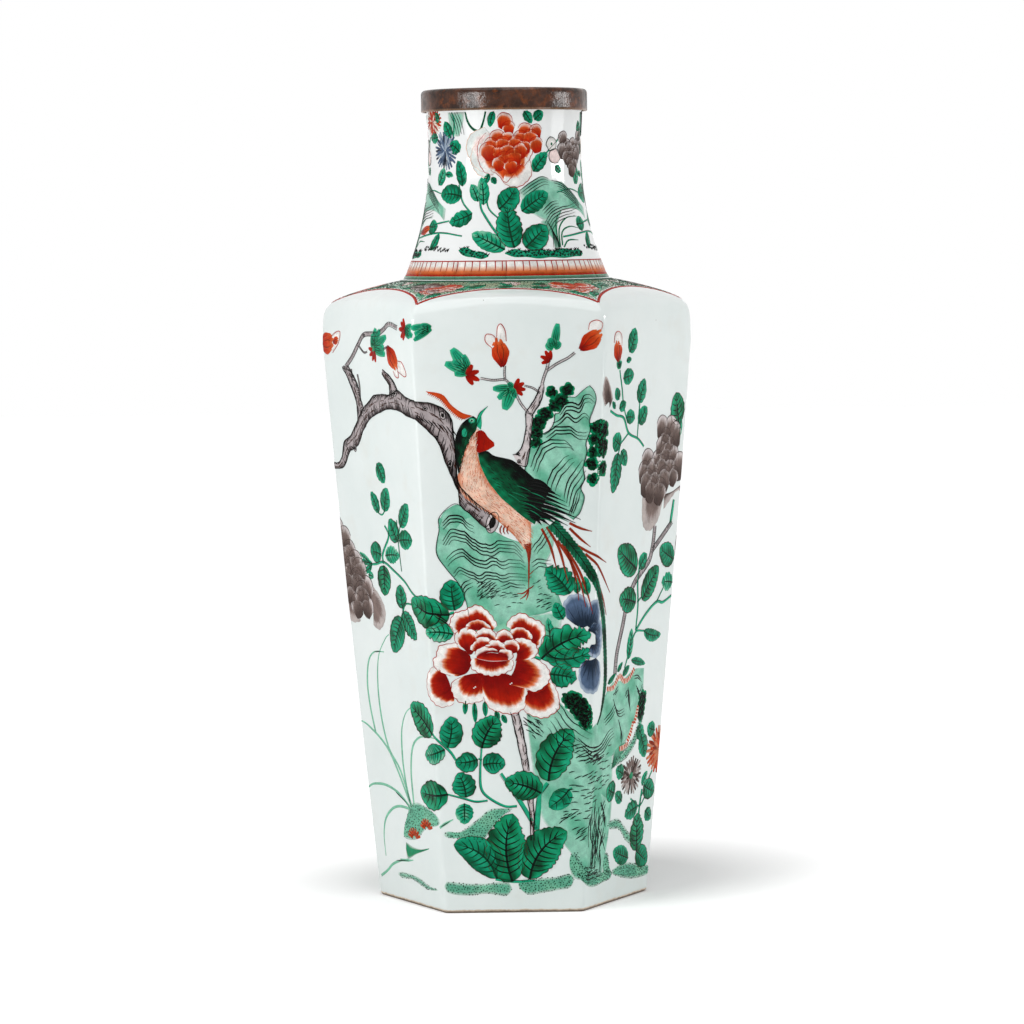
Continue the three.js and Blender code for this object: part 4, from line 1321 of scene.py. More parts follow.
def lowerRock(coats, chart):
    paint, ink = coats
    wash(paint, chart, [(-41.5, 232), (-41, 226), (-42.5, 213), (-37, 203), (-30, 194), (-26, 184),
         (-24, 172), (-20, 165)], [(-30, 240), (-14, 228), (-2, 221), (10, 216), (20, 206), (30, 180)],
         "turquoise", "turquoiseDeep", "rock", soft=0.05, under="turquoiseDeep")
    wash(paint, chart, [(-41.5, 227), (-39, 235), (-35, 238.5), (-31, 240.5), (-27, 240)],
         [(-36, 224), (-30, 226), (-26, 230), (-22, 232), (-18, 232)], "turquoiseDeep", "turquoise", 0.079,
         soft=0.05, under="turquoiseDeep")
    wash(paint, chart, [(4, 213), (7, 222), (12, 228), (18, 230), (24, 227)],
         [(13, 190), (16, 198), (20, 205), (23, 211), (25, 217)], "turquoise", "paleGreen", 0.073, soft=0.1)
    wash(paint, chart, [(-26, 184), (-12, 178), (8, 176), (30, 178)],
         [(-24, 170), (-8, 166), (12, 164), (27, 158)], "turquoise", "paleGreen", 0.071, soft=0.1)
    crests = [([(-39, 230), (-34.5, 233.5), (-29.5, 234), (-25.5, 230.5), (-21, 227)], 3, (0.2, -1.9),
               0.75), ([(-39, 219.5), (-35, 225), (-31.5, 226), (-25.5, 223.5), (-20, 219), (-12.5, 216.5),
              (-5.5, 219), (2, 217.5), (7, 213)], 4, (0.3, -2.1), 0.75),
              ([(-37, 208.5), (-33, 213), (-28, 214), (-21.5, 209.5), (-15.5, 207), (-11, 209.5),
                (-5.5, 207), (2, 208), (8, 206)], 3, (0.4, -2.1), 0.7),
              ([(-33, 200.5), (-29.5, 203.5), (-24, 201.5), (-18.5, 199), (-12.5, 201), (-5.5, 199),
                (3, 200), (9, 198.5)], 3, (0.5, -1.9), 0.65),
              ([(-29, 191), (-27, 195), (-23, 197)], 3, (1.0, -1.9), 0.55),
              ([(-6, 192.5), (0, 194), (8, 192.5)], 2, (0.9, -1.8), 0.5),
              ([(12, 214), (16, 219), (21, 226)], 3, (1.3, -1.7), 0.5),
              ([(12, 206), (17, 208), (23, 207)], 3, (0.5, -2.2), 0.5)]
    for points, times, shift, width in crests:
        waves(ink, chart, points, times, shift, width, 0.9)
    draw(ink, chart,
         jitter([(-24, 172), (-26, 184), (-30, 194), (-37, 203), (-42.5, 213), (-41, 226), (-41.5, 232),
                 (-36.5, 238), (-31, 241), (-25, 237)], 0.35), 0.4, "ink", (0.6, 0.6))
    dashes(ink, chart, [(-19, 196), (-12, 196), (-6, 191), (-9, 186), (-19, 186)], 1.5, 3.0, 35, 0.55)
    dashes(ink, chart, [(-10, 190), (2, 189), (4, 186), (-8, 186)], 2.2, 3.0, 5, 0.5)
    dashes(ink, chart, [(14, 189), (24, 188), (22, 179), (14, 180)], 2.4, 3.4, 18)
    dashes(ink, chart, [(-12, 183), (10, 184), (12, 180), (-10, 179)], 5.0, 3.2, 4, 0.5)
    dashes(ink, chart, [(13, 197), (17, 196), (18, 191), (14, 192)], 2.4, 2.4, 25)


def upperRock(coats, chart):
    paint, ink = coats
    mossBalls(coats, chart, ((25, 304.5, 2.8), (33.5, 305.5, 3.2), (30, 300, 3.3), (26, 297, 3.3),
              (21, 292, 3.6), (17, 287, 3.8), (15.5, 281, 3.2), (15, 276, 2.5), (50, 284, 3.2),
              (56.5, 282, 3.2), (49, 277, 3), (57, 274, 3.2), (48, 270, 3), (47, 263, 3.2), (56, 261, 3),
              (48, 254, 2.8)))
    outline = [(12, 248), (9, 258), (10, 268), (12, 273), (16, 275), (17, 279), (23, 283), (26, 288),
               (26, 292), (29, 293), (32, 300), (35, 302), (38, 301.5), (42, 305), (45, 307.5)]
    right = [(36, 231), (39.5, 234), (41.5, 238), (43, 244), (41, 249), (43.2, 255), (42.5, 261),
             (44.5, 270), (44, 275), (46.5, 282), (46, 288), (48, 294), (50, 300), (49, 305), (46, 308)]
    wash(paint, chart, outline, right, "turquoise", "turquoiseDeep", "rock", soft=0.04,
         under="turquoiseDeep", patch=6.0)
    crests = [([(29, 293), (32, 297), (36, 298.5), (39.5, 296.5), (43, 301.5), (46, 303), (49, 300)], 3,
               (0.1, -2.2), 0.8),
              ([(25, 286), (29.5, 289), (33.5, 291.5), (38, 289), (42.5, 291.5), (46, 289.5)], 2,
               (0.2, -2.1), 0.75),
              ([(20, 280), (26, 283.5), (32, 284.5), (36.5, 283), (41, 280.5), (45, 281.5)], 3, (0.3, -2.0),
               0.75), ([(12, 261), (15, 269), (19, 275), (26, 277), (32, 276), (36, 273)], 3, (1.5, -2.1),
              0.7), ([(21, 250), (24, 258), (30, 265), (34, 268)], 3, (2.4, -1.6), 0.65),
              ([(31, 243), (33, 252), (38, 260), (42, 265)], 4, (1.4, -2.5), 0.65),
              ([(36, 234), (39, 241), (40.5, 247)], 3, (-1.5, -0.8), 0.55)]
    for points, times, shift, width in crests:
        waves(ink, chart, points, times, shift, width, 1.1 if width > 0.7 else 0.8)
    for edge in (outline, right):
        draw(ink, chart, jitter(edge, 0.25), 0.42, "ink", (0.6, 0.6))


def rightRock(coats, chart):
    # the column of rock that turns the corner to the right
    paint, ink = coats
    wash(paint, chart, [(8, 119), (9, 106), (10.5, 92), (12, 78), (13.5, 66), (17, 55), (25, 45), (33, 35),
         (41, 22)], [(27, 125), (36, 116), (46, 108), (55, 112), (64, 110), (72, 98), (73, 60), (68, 36),
         (60, 14)], "turquoise", "turquoiseDeep", "ground", soft=0.04, patch=9.0)
    wash(paint, chart, [(44, 104), (52, 92), (48, 70), (43, 50), (43, 30)],
         [(62, 106), (60, 92), (62, 70), (60, 40), (56, 18)], "turquoiseDeep", "turquoise", 0.064, soft=0.3,
         under="turquoise")
    waves(ink, chart, [(27, 124), (32, 116), (38, 110), (47, 105)], 5, (-2.0, -3.0), 0.55, 0.95)
    waves(ink, chart, [(38, 103), (44, 98), (52, 97), (60, 98)], 4, (1.0, -2.6), 0.75)
    for polygon, space, length, slope in (([(7, 118), (16, 114), (18, 106), (12, 104), (8, 108)], 2.4, 5,
            -35), ([(35, 100), (60, 92), (60, 86), (40, 90)], 2.8, 6, 14),
            ([(34, 86), (52, 82), (52, 58), (36, 52), (30, 60)], 4.6, 5, 10),
            ([(46, 58), (60, 62), (60, 30), (48, 28)], 3.6, 7, 82),
            ([(40, 28), (58, 24), (58, 16), (44, 18)], 2.6, 4, -12),
            ([(28, 60), (36, 60), (36, 54), (28, 54)], 2.6, 5, 28),
            ([(34, 50), (42, 50), (42, 42), (34, 44)], 2.8, 5, 34)):
        dashes(ink, chart, polygon, space, length, slope)
    for start in ((46, 55), (49, 60), (53, 66), (50, 40), (55, 47), (58, 55)):
        draw(ink, chart, [start, (start[0] - 1.6, start[1] - 8), (start[0] - 1, start[1] - 17)], 0.5,
             "greenInk", (0.3, 0.2))
    moss(coats, chart, [(29, 129), (37, 130), (42, 126), (47, 119), (46, 110), (42, 108), (36, 117),
         (30, 124)], 1.5)


def bluePeony(coats, chart):
    paint, ink = coats
    tones = ("blueDark", "blue", "blue", "blueLight")
    petals = [([(38, 169), (41, 168), (44, 169)],
               [(30.5, 175), (30, 182), (34, 187), (40, 187.5), (44, 184), (46, 178)]),
              ([(43, 170), (45, 168), (48, 168)], [(42, 178), (46, 183), (51, 184), (54, 178), (54, 172)]),
              ([(44, 166), (47, 165), (50, 163)], [(48, 172), (54, 172), (57, 168), (57, 161)]),
              ([(43, 149), (46, 149), (50, 150)],
               [(39, 146), (38.5, 138), (41, 131), (47, 129), (53, 131), (56, 138), (55, 147)]),
              ([(46, 158), (48, 158), (50, 158)],
               [(44, 152), (49, 150), (55, 152), (57, 160), (54, 166), (49, 168)])]
    for number, (inner, rim) in enumerate(petals):
        petal(paint, chart, inner, rim, level["leaf"] - 0.012 + 0.003 * number, tones, 1.8, 3.0, 5.0, 0.6,
              None, 0.2)
        for x, y in zip(path(inner, count=9), path(rim, count=9)):
            if hand.random() < 0.85:
                brush(ink, chart, [x + (y - x) * 0.1, x + (y - x) * hand.uniform(0.5, 0.85)], 0.45,
                      tinted("blueDark", thin), level["line"] - 0.04, (0.9, 0.2))


def bird(coats, chart):
    paint, ink = coats
    # tail first: a saw-edged green feather, and thin red-brown plumes
    plumes = [[(18, 226), (23, 215.5), (26.5, 202)], [(21, 227), (28, 214), (33, 194)],
              [(24, 228), (32, 214), (37.5, 196), (39, 184)], [(27, 219), (35, 206), (40, 194), (43, 180)],
              [(30, 217), (39, 202), (44, 188), (47, 176)], [(34, 229), (40, 226), (47, 224)],
              [(34, 226), (40, 220), (46, 215)], [(38, 216), (47, 211), (61, 205)],
              [(43, 211), (54, 201), (66, 187)], [(42, 207), (50, 196), (58, 184), (62, 174)]]
    for points in plumes:
        brush(paint, chart, points, 1.5, tinted("plume", thin), level["leaf"] + 0.03, (1, 0.3), 1.5)
    tail = path([(24, 229), (30, 222), (38, 212), (46, 200), (52, 190), (58, 174), (61, 155), (62, 135),
                 (58, 118), (53, 110)], 1.1)
    t = np.linspace(0, 1, len(tail))
    half = np.interp(t, [0, 0.15, 0.4, 0.8, 1], [3.8, 3.5, 2.6, 2.0, 0.5])
    saw = np.array([1.0 if row % 2 else hand.uniform(0.78, 0.95) for row in range(len(tail))])
    side = sideways(tail) * (half * saw)[:, None]
    shades = between(tinted("deepGreen"), tinted("mossGreen"), 0.5 + 0.5 * np.sin(t * 40))
    s = np.linspace(1, -1, 5)
    lay(paint, chart, tail[:, None] + side[:, None] * s[None, :, None], np.repeat(shades[:, None], 5, 1),
        level["leaf"] + 0.045)
    draw(ink, chart, tail[:-4], 0.5, "black", (1, 0.3))
    for here, back, out in zip(tail[3:], tail, side[3:]):
        for sign in (1, -1):
            if hand.random() < 0.6:
                draw(ink, chart, [back, here + out * sign * 0.9], 0.32, "black", (0.6, 0.2))
    # breast
    left = [(-19, 284), (-22, 279), (-26, 271), (-28.5, 262), (-30, 254), (-27, 246), (-20, 240),
            (-10, 233.5), (-3, 227), (3, 221), (8, 214)]
    right = [(-17.5, 284), (-18, 278), (-18.5, 272), (-17, 264), (-14, 257), (-9, 250), (-1, 243), (6, 236),
             (11, 231), (12, 224), (11, 216)]
    grid = band(left, right, 1.4)
    s = np.linspace(0, 1, grid.shape[1])[None, :]
    tint = between(tinted("salmonDeep", thin), tinted("salmon", thin),
            smooth(np.sin(np.pi * s) + 0 * grid[..., 0], 0.1, 0.7))
    tint = between(tint, tinted("straw", thin), 0.55 * smooth(clouds(grid, 5.0, 2.0), 0.0, 0.8))
    lay(paint, chart, grid, tint, level["leaf"] + 0.02)
    rows = len(grid)
    for i in range(2, rows - 1):
        for j in np.linspace(0.04, 0.96, 11):
            if hand.random() < 0.8:
                at = grid[i, 0] + (grid[i, -1] - grid[i, 0]) * (j + hand.uniform(-0.05, 0.05))
                go = grid[i, 0] - grid[i - 1, 0]
                go = go / math.hypot(*go) * hand.uniform(1.2, 2.2)
                brush(paint, chart, [at, at + go + [hand.uniform(-0.3, 0.3), 0]], 0.26,
                      tinted(hand.choice(("salmonDeep", "vermilion", "straw")), thin), level["leaf"] + 0.05,
                      (1, 0.2))
    # far wing edge, then head and nape
    nape = [(-20.5, 291.5), (-25, 289), (-28.5, 285), (-31, 278), (-31, 270), (-29.5, 259)]
    throat = [(-18.5, 290), (-18.6, 284), (-21, 280), (-24.5, 273), (-27, 266), (-29, 258)]
    head = band(nape, throat, 1.3)
    s = np.linspace(0, 1, head.shape[1])[None, :] + 0 * head[..., 0]
    lay(paint, chart, head,
        between(tinted("black"), tinted("deepGreen"), smooth(s + 0.4 * clouds(head, 3.0), 0.2, 0.9)),
        level["leaf"] + 0.04)
    for i in range(3, len(head) - 2):
        for j in (0.2, 0.45, 0.7, 0.9):
            at = head[i, 0] + (head[i, -1] - head[i, 0]) * (j + hand.uniform(-0.08, 0.08))
            go = (head[i + 1, 0] - head[i, 0]) * 1.4
            draw(ink, chart, [at, at + go], 0.35, "black", (1, 0.3))
    for reach, tone, lift in ((1.6, "leafGreen", 0.185), (1.0, "paleGreen", 0.19), (0.5, "black", 0.2)):
        turn = np.linspace(0, 2 * math.pi, 13)
        ring = np.array((-21.3, 288.8)) + np.stack([np.cos(turn) * reach * 1.15, np.sin(turn) * reach], -1)
        lay(paint, chart, np.stack([ring[:7], ring[:5:-1]], 1), tinted(tone), lift)
    lay(paint, chart,
        band([(-27, 283), (-25.5, 284.5), (-24, 283)], [(-27, 280), (-25, 279.5), (-24.2, 281)], 0.8),
        tinted("leafGreen"), 0.19)
    # beak, crest, wattle
    for edge, other in (([(-18.6, 286.5), (-18.2, 290), (-16.5, 293.5), (-12, 297)],
            [(-17.2, 286.5), (-16.2, 290), (-15, 293), (-12.2, 296.5)]),
            ([(-18.5, 285.5), (-17.8, 288), (-16.2, 291)], [(-16.2, 283.5), (-15.6, 287), (-15.8, 291)])):
        lay(paint, chart, band(edge, other, 1.0), tinted("leafGreen"), level["leaf"] + 0.03)
        draw(ink, chart, edge, 0.3, "greenInk")
    crest = band([(-21, 291.5), (-27, 293.5), (-33, 298), (-38, 304), (-47.5, 306)],
                 [(-25.5, 289.5), (-29, 291), (-34.5, 296), (-39.5, 301.5), (-46.5, 305.2)], 1.3)
    lay(paint, chart, crest, tinted("vermilion", thin), level["leaf"] + 0.05)
    for i in range(1, len(crest) - 1):
        brush(paint, chart, [crest[i, -1] + [0, 0.3], crest[i, -1] + [-0.9, -0.9]], 0.6,
              tinted("vermilion", thin), level["leaf"] + 0.05, (1, 0.2))
    wattle = band([(-19, 282), (-16.5, 283.3), (-14, 282), (-12, 279), (-8.7, 276)],
                  [(-19.3, 275), (-18.5, 270.5), (-15, 270.8), (-12, 272), (-8.6, 274)], 1.2)
    s = np.linspace(0, 1, wattle.shape[0])[:, None] + 0 * wattle[..., 0]
    lay(paint, chart, wattle, between(tinted("deepRed", thin), tinted("ironRed", thin), s),
        level["leaf"] + 0.045)
    for shift in (0.25, 0.5, 0.75):
        row = int(shift * (len(wattle) - 1))
        brush(paint, chart, [wattle[row, 1], wattle[row, -1]], 0.3, tinted("deepRed", thin),
              level["leaf"] + 0.055)
    # wing: dark along its upper edge, mottled green below, then the black flight feathers with a ragged end
    upper = [(-18, 270), (-13, 271.3), (-9, 268.5), (-3, 267), (2, 265.5), (7, 261.5), (12, 257),
             (17, 252.5), (23, 249)]
    lower = [(-17, 264), (-15, 259), (-12, 253), (-9, 249), (-5, 244), (0, 239.5), (5, 235), (10, 231),
             (14, 228.5)]
    wing = band(upper, lower, 1.5)
    s = np.linspace(0, 1, wing.shape[1])[None, :] + 0 * wing[..., 0]
    t = np.linspace(0, 1, wing.shape[0])[:, None] + 0 * wing[..., 0]
    tint = between(tinted("black"), tinted("deepGreen"),
            smooth(s - 0.25 * t + 0.2 * clouds(wing, 3.0, 1.0), 0.06, 0.36))
    tint = between(tint, tinted("emerald"), 0.8 * smooth(s - 0.5 * t + 0.3 * clouds(wing, 2.2, 4.0), 0.35,
            1.0))
    lay(paint, chart, wing, tint, level["leaf"] + 0.05 + 0.02 * np.sin(np.pi * s))
    dashes(ink, chart, [(-15, 268), (0, 264), (10, 256), (12, 246), (4, 242), (-4, 247), (-11, 255)], 2.3,
           2.6, -38, 0.5, "greenInk")
    roots = path([(11, 255), (6, 249), (4, 245), (6, 239), (11, 233)], count=12)
    tips = ((24, 248.5), (26, 246.5), (29, 244.5), (31.5, 241.5), (33, 238.5), (36.5, 235), (40.5, 231),
            (37.5, 229), (33, 227.5), (28, 227.8), (23, 227.5), (18, 228))
    for number, (root, tip) in enumerate(zip(roots, tips)):
        middle = (root + tip) / 2 + (0.6, 1.0)
        brush(paint, chart, [root, middle, tip], 2.1, tinted("black", 0.7), 0.2 + 0.002 * number,
              (0.05, 0.12), 1.6)
    for a, b in (((1, 247.5), (10, 243.5)), ((-1, 246.5), (6, 241.5)), ((8, 241.5), (18, 236)),
                 ((18, 238), (31, 233)), ((17, 232), (26, 229.6)), ((12, 247), (21, 243)),
                 ((11, 237), (18, 232.5)), ((20, 242), (28, 238)), ((4, 251), (12, 247.5)),
                 ((24, 233.5), (34, 229.5))):
        brush(paint, chart, [a, ((a[0] + b[0]) / 2, (a[1] + b[1]) / 2 + 0.4), b], 0.6, tinted("mossGreen"),
              0.236, (0.3, 0.2))
    # legs
    red = tinted("plume", thin)
    lay(paint, chart, band([(7.5, 217), (9.3, 212), (10, 206)], [(12, 217.5), (11.8, 212), (11, 206)], 1.2),
        red, 0.17)
    for points, width in (([(10.6, 213), (10.4, 200), (10.2, 191)], 1.0),
            ([(10.2, 191), (7, 188.5), (3.5, 188.5)], 0.8), ([(10.2, 190.5), (8, 187), (5, 185)], 0.8),
            ([(10.2, 190.5), (9.6, 187), (8.6, 184.5)], 0.8), ([(10.3, 191), (12, 192), (13.2, 193)], 0.7),
            ([(10.4, 199), (12, 200.5), (13.5, 202)], 0.5), ([(10.4, 197), (12, 198.6)], 0.4)):
        brush(paint, chart, points, width, red, 0.18, (1, 0.4))
    for x in (-5.5, -3.5, -1.5):
        brush(paint, chart, [(x + 0.6, 228), (x - 0.6, 225.5), (x + 0.4, 223)], 0.9, red, 0.18, (0.8, 0.3))


def frontBranches(coats, chart):
    paint, ink = coats
    trunk(coats, chart, [(-56, 300.5), (-50, 299.5), (-45, 299), (-38, 296), (-33.5, 291), (-32, 283),
          (-31, 272)], [(-56, 290.5), (-52, 288.5), (-47, 284), (-40, 275.5), (-37, 266), (-33, 256),
          (-29.5, 248)])
    trunk(coats, chart, [(-31, 272), (-30.5, 262), (-29, 252), (-21, 243), (-14, 237), (-8, 233)],
          [(-33, 256), (-29.5, 248), (-28.5, 240), (-22, 234), (-16, 228), (-11, 225)])
    for place, size, tilt in (((-38, 292), (3.2, 5), 20), ((-34, 264), (2.6, 4), 0),
            ((-42, 279.5), (1.6, 1.4), 0), ((-10.2, 229.8), (7, 12.5), -16), ((-48, 296), (3, 2), 10)):
        knot(coats, chart, place, size, tilt)
    for number in range(9):   # short dark strokes along the bark
        x = -54 + number * 2.6
        draw(ink, chart, [(x, 292 - number * 0.9), (x + 4, 289 - number * 1.3)], 0.6, "ink", (0.4, 0.2))
    trunk(coats, chart, [(2, 269), (5, 270), (8, 276), (9.5, 284), (9.5, 293)],
          [(5, 263), (9.5, 262), (11.5, 271), (13, 284), (14, 293)], 0.35, paleWood)
    trunk(coats, chart, [(9.5, 293), (13, 298), (16, 303), (18, 309)],
          [(13, 291), (17, 297), (19.5, 303), (20.5, 309)], 0.35, paleWood)
    knot(coats, chart, (5, 269.5), (1.6, 1.6))
    knot(coats, chart, (5.5, 265), (2.0, 2.2))
    for points, width in (([(11, 293), (7, 298), (4, 304)], 1.2),
            ([(19, 309), (20.5, 314), (22, 318), (23, 323)], 1.5),
            ([(22, 317), (28, 321), (34, 324), (38, 327)], 1.3), ([(18, 304), (14, 307), (9, 308.5)], 0.9),
            ([(-16, 313), (-9, 311.8), (-2, 312), (1, 309)], 1.1),
            ([(-2, 312), (-2.3, 316), (-2, 320)], 1.0)):
        twig(coats, chart, points, width, "barkPale")
    # buds, blossoms and young leaves
    budOf(coats, chart, (-3.5, 319.5), (-5.5, 335.5), 10,
          ([(-9, 330), (-13, 334), (-12.5, 338), (-8.5, 337.5), (-6, 334)],
           [(-6.5, 336), (-6, 342), (-4, 344), (-1.6, 340), (-1, 334)]))
    budOf(coats, chart, (41, 329), (53.5, 338.5), 10,
          ([(46, 340), (47, 344), (51, 345.5), (54.5, 343.5), (53.5, 340)],))
    for place, size, aim in (((-24, 315), 7.5, 0), ((3.5, 307), 6.5, 15), ((24, 323), 6, 140)):
        blossom(paint, chart, place, size, aim, 4)
    tuft(coats, chart, (-23, 317), ((125, 16, 7), (160, 14, 6), (145, 11, 6), (190, 8, 5), (105, 10, 5)))
    tuft(coats, chart, (2, 307), ((180, 11, 5), (215, 10, 5), (250, 13, 7), (285, 6, 4), (120, 4, 4)))
    tuft(coats, chart, (26, 330), ((80, 14, 5), (150, 5, 6), (40, 5, 5), (110, 6, 6)))
    tuft(coats, chart, (-44, 342), ((178, 12, 5), (200, 10, 5), (215, 12, 4), (160, 6, 4)))


def paintFront(place, half):
    rocks, plants, feathers = (newCoat("enamel_" + kind + "_" + place)
            for kind in ("rocks", "plants", "bird"))
    ink = newCoat("linework_" + place)
    chart = ("face", half)
    for paint, steps in ((rocks, (frontGround, rightRock, lowerRock, upperRock)),
            (plants, (frontStems, frontBranches, bluePeony, frontLeaves, redPeony)), (feathers, (bird,))):
        for step in steps:
            step((paint, ink), chart)
        finishCoat(paint, enamelMaterial)
    finishCoat(ink, lineMaterial)


# left panel: a leafless bough with magnolia, an aubergine peony and grass
def leftBough(coats, chart):
    trunk(coats, chart, [(53, 300.5), (45, 302), (40, 303.5), (34, 306), (24, 303), (14, 303), (5, 302),
          (-2, 298), (-8, 295)], [(53, 290), (45, 291), (35, 294), (26, 295), (20, 294.5), (10, 292),
          (0, 289), (-4, 286.5), (-9, 283)], lift=level["stem"] - 0.004)
    trunk(coats, chart, [(-17, 286), (-17, 297), (-21, 305), (-26, 312), (-32, 318)],
          [(-7, 292), (-11, 299), (-13, 306), (-18, 313), (-24, 319)])
    trunk(coats, chart, [(-7, 295.5), (-14, 290), (-20, 284), (-28, 277), (-36, 273.5), (-40, 265),
          (-46, 260.5), (-58, 260.5)], [(-7, 284), (-12, 280), (-18, 273), (-24, 270), (-31, 267),
          (-37, 260), (-44, 257), (-58, 257)], lift=level["stem"] + 0.003)
    trunk(coats, chart, [(36, 304), (31, 310), (26, 314), (18, 317.5)],
          [(24, 302), (25, 308), (22, 311), (17, 315)], lift=level["stem"] + 0.004)
    for points, width in (([(-27, 318), (-18, 324), (-10, 331), (-3, 337), (6, 338), (14, 338), (22, 341),
            (28, 344), (38, 342)], 2.6), ([(-9, 331), (-3, 327), (1, 327.5)], 0.9),
            ([(-12, 298), (-11.5, 307), (-13, 314)], 1.2), ([(20, 329), (26, 331)], 0.8),
            ([(-20, 309), (-20, 317)], 1.0)):
        twig(coats, chart, points, width)
    for place, size in (((-11, 292), (4, 5)), ((-29, 317), (3.4, 3)), ((-34, 272), (3.4, 2.6)),
            ((30, 304), (6, 3)), ((6, 301), (4, 2)), ((-15, 307), (2.4, 2.2)), ((-2, 337), (2.2, 1.6)),
            ((-23, 270), (3, 4))):
        knot(coats, chart, place, size)
    budOf(coats, chart, (26, 331), (35, 318), 11,
          ([(31, 317), (33, 314), (37, 313.5), (36, 319)],
           [(37, 323), (42, 322), (46, 316), (44, 314), (36, 317)]))
    budOf(coats, chart, (-58, 331), (-40, 332), 13,
          ([(-46, 334), (-38, 338), (-32, 338.5), (-34, 332), (-42, 326)],))
    budOf(coats, chart, (-41, 332.5), (-34, 334), 5)
    for place, size, aim in (((10, 328), 6.5, 200), ((47, 341), 7, 180)):
        blossom(coats[0], chart, place, size, aim, 5)
    tuft(coats, chart, (8, 330), ((70, 12, 6), (48, 14, 6), (22, 18, 6), (0, 14, 7), (-14, 15, 6),
         (90, 8, 5)))
    tuft(coats, chart, (46, 341), ((0, 8, 5), (18, 9, 4), (-20, 10, 5), (-35, 8, 4)))


def paintLeft(place, half):
    paint, ink = coats = newCoats(place)
    chart = ("face", half - 1)
    blades(paint, chart,
           ([(10, 60), (0, 80), (-12, 92), (-18, 110), (-19, 130), (-15, 147), (-5, 158), (0, 161)],
            [(8, 62), (-5, 82), (-15, 93), (-30, 101), (-45, 105), (-58, 98)],
            [(-27, 100), (-31, 115), (-32, 130), (-28, 143), (-20, 149), (-8, 150)],
            [(9, 60), (5, 75), (4, 90), (6, 105), (12, 115), (20, 120)],
            [(13, 60), (13, 80), (17, 95), (25, 102), (35, 104), (46, 104)],
            [(8, 59), (-5, 66), (-20, 69), (-35, 68), (-44, 65), (-58, 66)],
            [(8, 58), (-5, 58), (-15, 55), (-24, 48), (-28, 38), (-28, 25)],
            [(-58, 44), (-54, 36), (-52, 22)], [(-36, 12), (-28, 16), (-18, 22), (0, 27)],
            [(-10, 25), (0, 26), (6, 27)], [(42, 51), (47, 54), (51, 56)]))
    for points in ([(-8, 66), (2, 62), (8, 58)], [(-15, 24), (0, 26)], [(43, 51.5), (49, 55)],
            [(-12, 150), (-20, 149)]):
        draw(ink, chart, points, 0.6, "greenInk", (0.3, 0.3))
    stipple(coats, chart, [(3, 53), (8, 60), (17, 63), (30, 61), (39, 58)],
            [(-3, 40), (4, 39), (14, 41), (25, 48), (40, 52)], space=2.0)
    for centre in ((10, 40.5), (26, 48)):
        for number in range(7):
            aim = math.radians(20 + 24 * number)
            go = np.array((math.cos(aim) * 7.5, math.sin(aim) * 6.5))
            brush(paint, chart, [centre + go * 0.25, centre + go], 1.9, tinted("vermilion", thin),
                  level["flower"], (0.4, 0.9))
    wash(paint, chart, [(-1, 37), (8, 35), (17, 35), (27, 37)], [(-2, 32), (0, 27), (10, 31), (26, 36)],
         "emerald", "mossGreen", "rock", ends=False)
    stipple(coats, chart, [(-12, 17.5), (0, 18), (12, 17), (22, 14), (31, 13.5)],
            [(-10, 14), (2, 15), (12, 13), (20, 11.5), (30, 12)])
    stems(coats, chart,
          (([(-29, 201), (-10, 202), (1, 204), (12, 200), (25, 194), (35, 187), (56, 180)], 1.5),
           ([(1, 203), (1, 209), (10, 220), (6, 226)], 1.6), ([(21, 230), (21, 215), (22, 200)], 1.0),
           ([(20, 176), (24, 181), (34, 181)], 1.1), ([(-1, 233), (4, 232), (8, 235)], 0.9),
           ([(21, 218), (25, 227)], 0.8), ([(17, 172), (20, 176), (20, 179)], 1.4)))
    manyLeaves(coats, chart, (((2, 262), (10, 251), 11, "dark"), ((0, 233), (-8, 245), 9, "mid"),
               ((7, 234), (13, 248), 12, "dark"), ((25, 226), (36, 240), 11, "mid"),
               ((20, 217), (12, 230), 13, "dark"), ((22, 218), (38, 219), 12, "mid"),
               ((-1, 208), (-14, 209), 13, "dark"), ((4, 208), (21, 209), 11, "light"),
               ((1, 202), (-1, 184), 16, "dark"), ((20, 178), (19, 192), 13, "mid"),
               ((20, 176), (34, 161), 13, "mid"), ((18, 172), (4, 151), 17, "mid"),
               ((-19, 195), (-13, 194), 5, "light"), ((-15, 202), (-28, 208), 4, "light"),
               ((-13, 202), (-29, 202.5), 4, "mid"), ((-14, 201), (-25, 196), 4.5, "mid")))
    leftBough(coats, chart)
    for inner, rim in (([(-22, 186), (-18, 180), (-17, 172)],
            [(-16, 189), (-8, 184), (-2, 176), (-4, 168), (-11, 163), (-18, 165)]),
            ([(-48, 180), (-38, 178)], [(-52, 170), (-44, 165), (-34, 166)])):
        petal(paint, chart, inner, rim, level["leaf"] - 0.01,
              ("aubergine", "aubergine", "aubergineLight", "aubergineLight"), 2.0, 4.0, 5.0, 0.5, None,
              0.12, veins="aubergine")
    shellFlower(paint, chart, ((-52, 206, 13, 14), (-42, 192, 17, 14), (-33, 180, 14, 10)), 8.0,
                "aubergine", 1.6)
    finishCoats(coats)


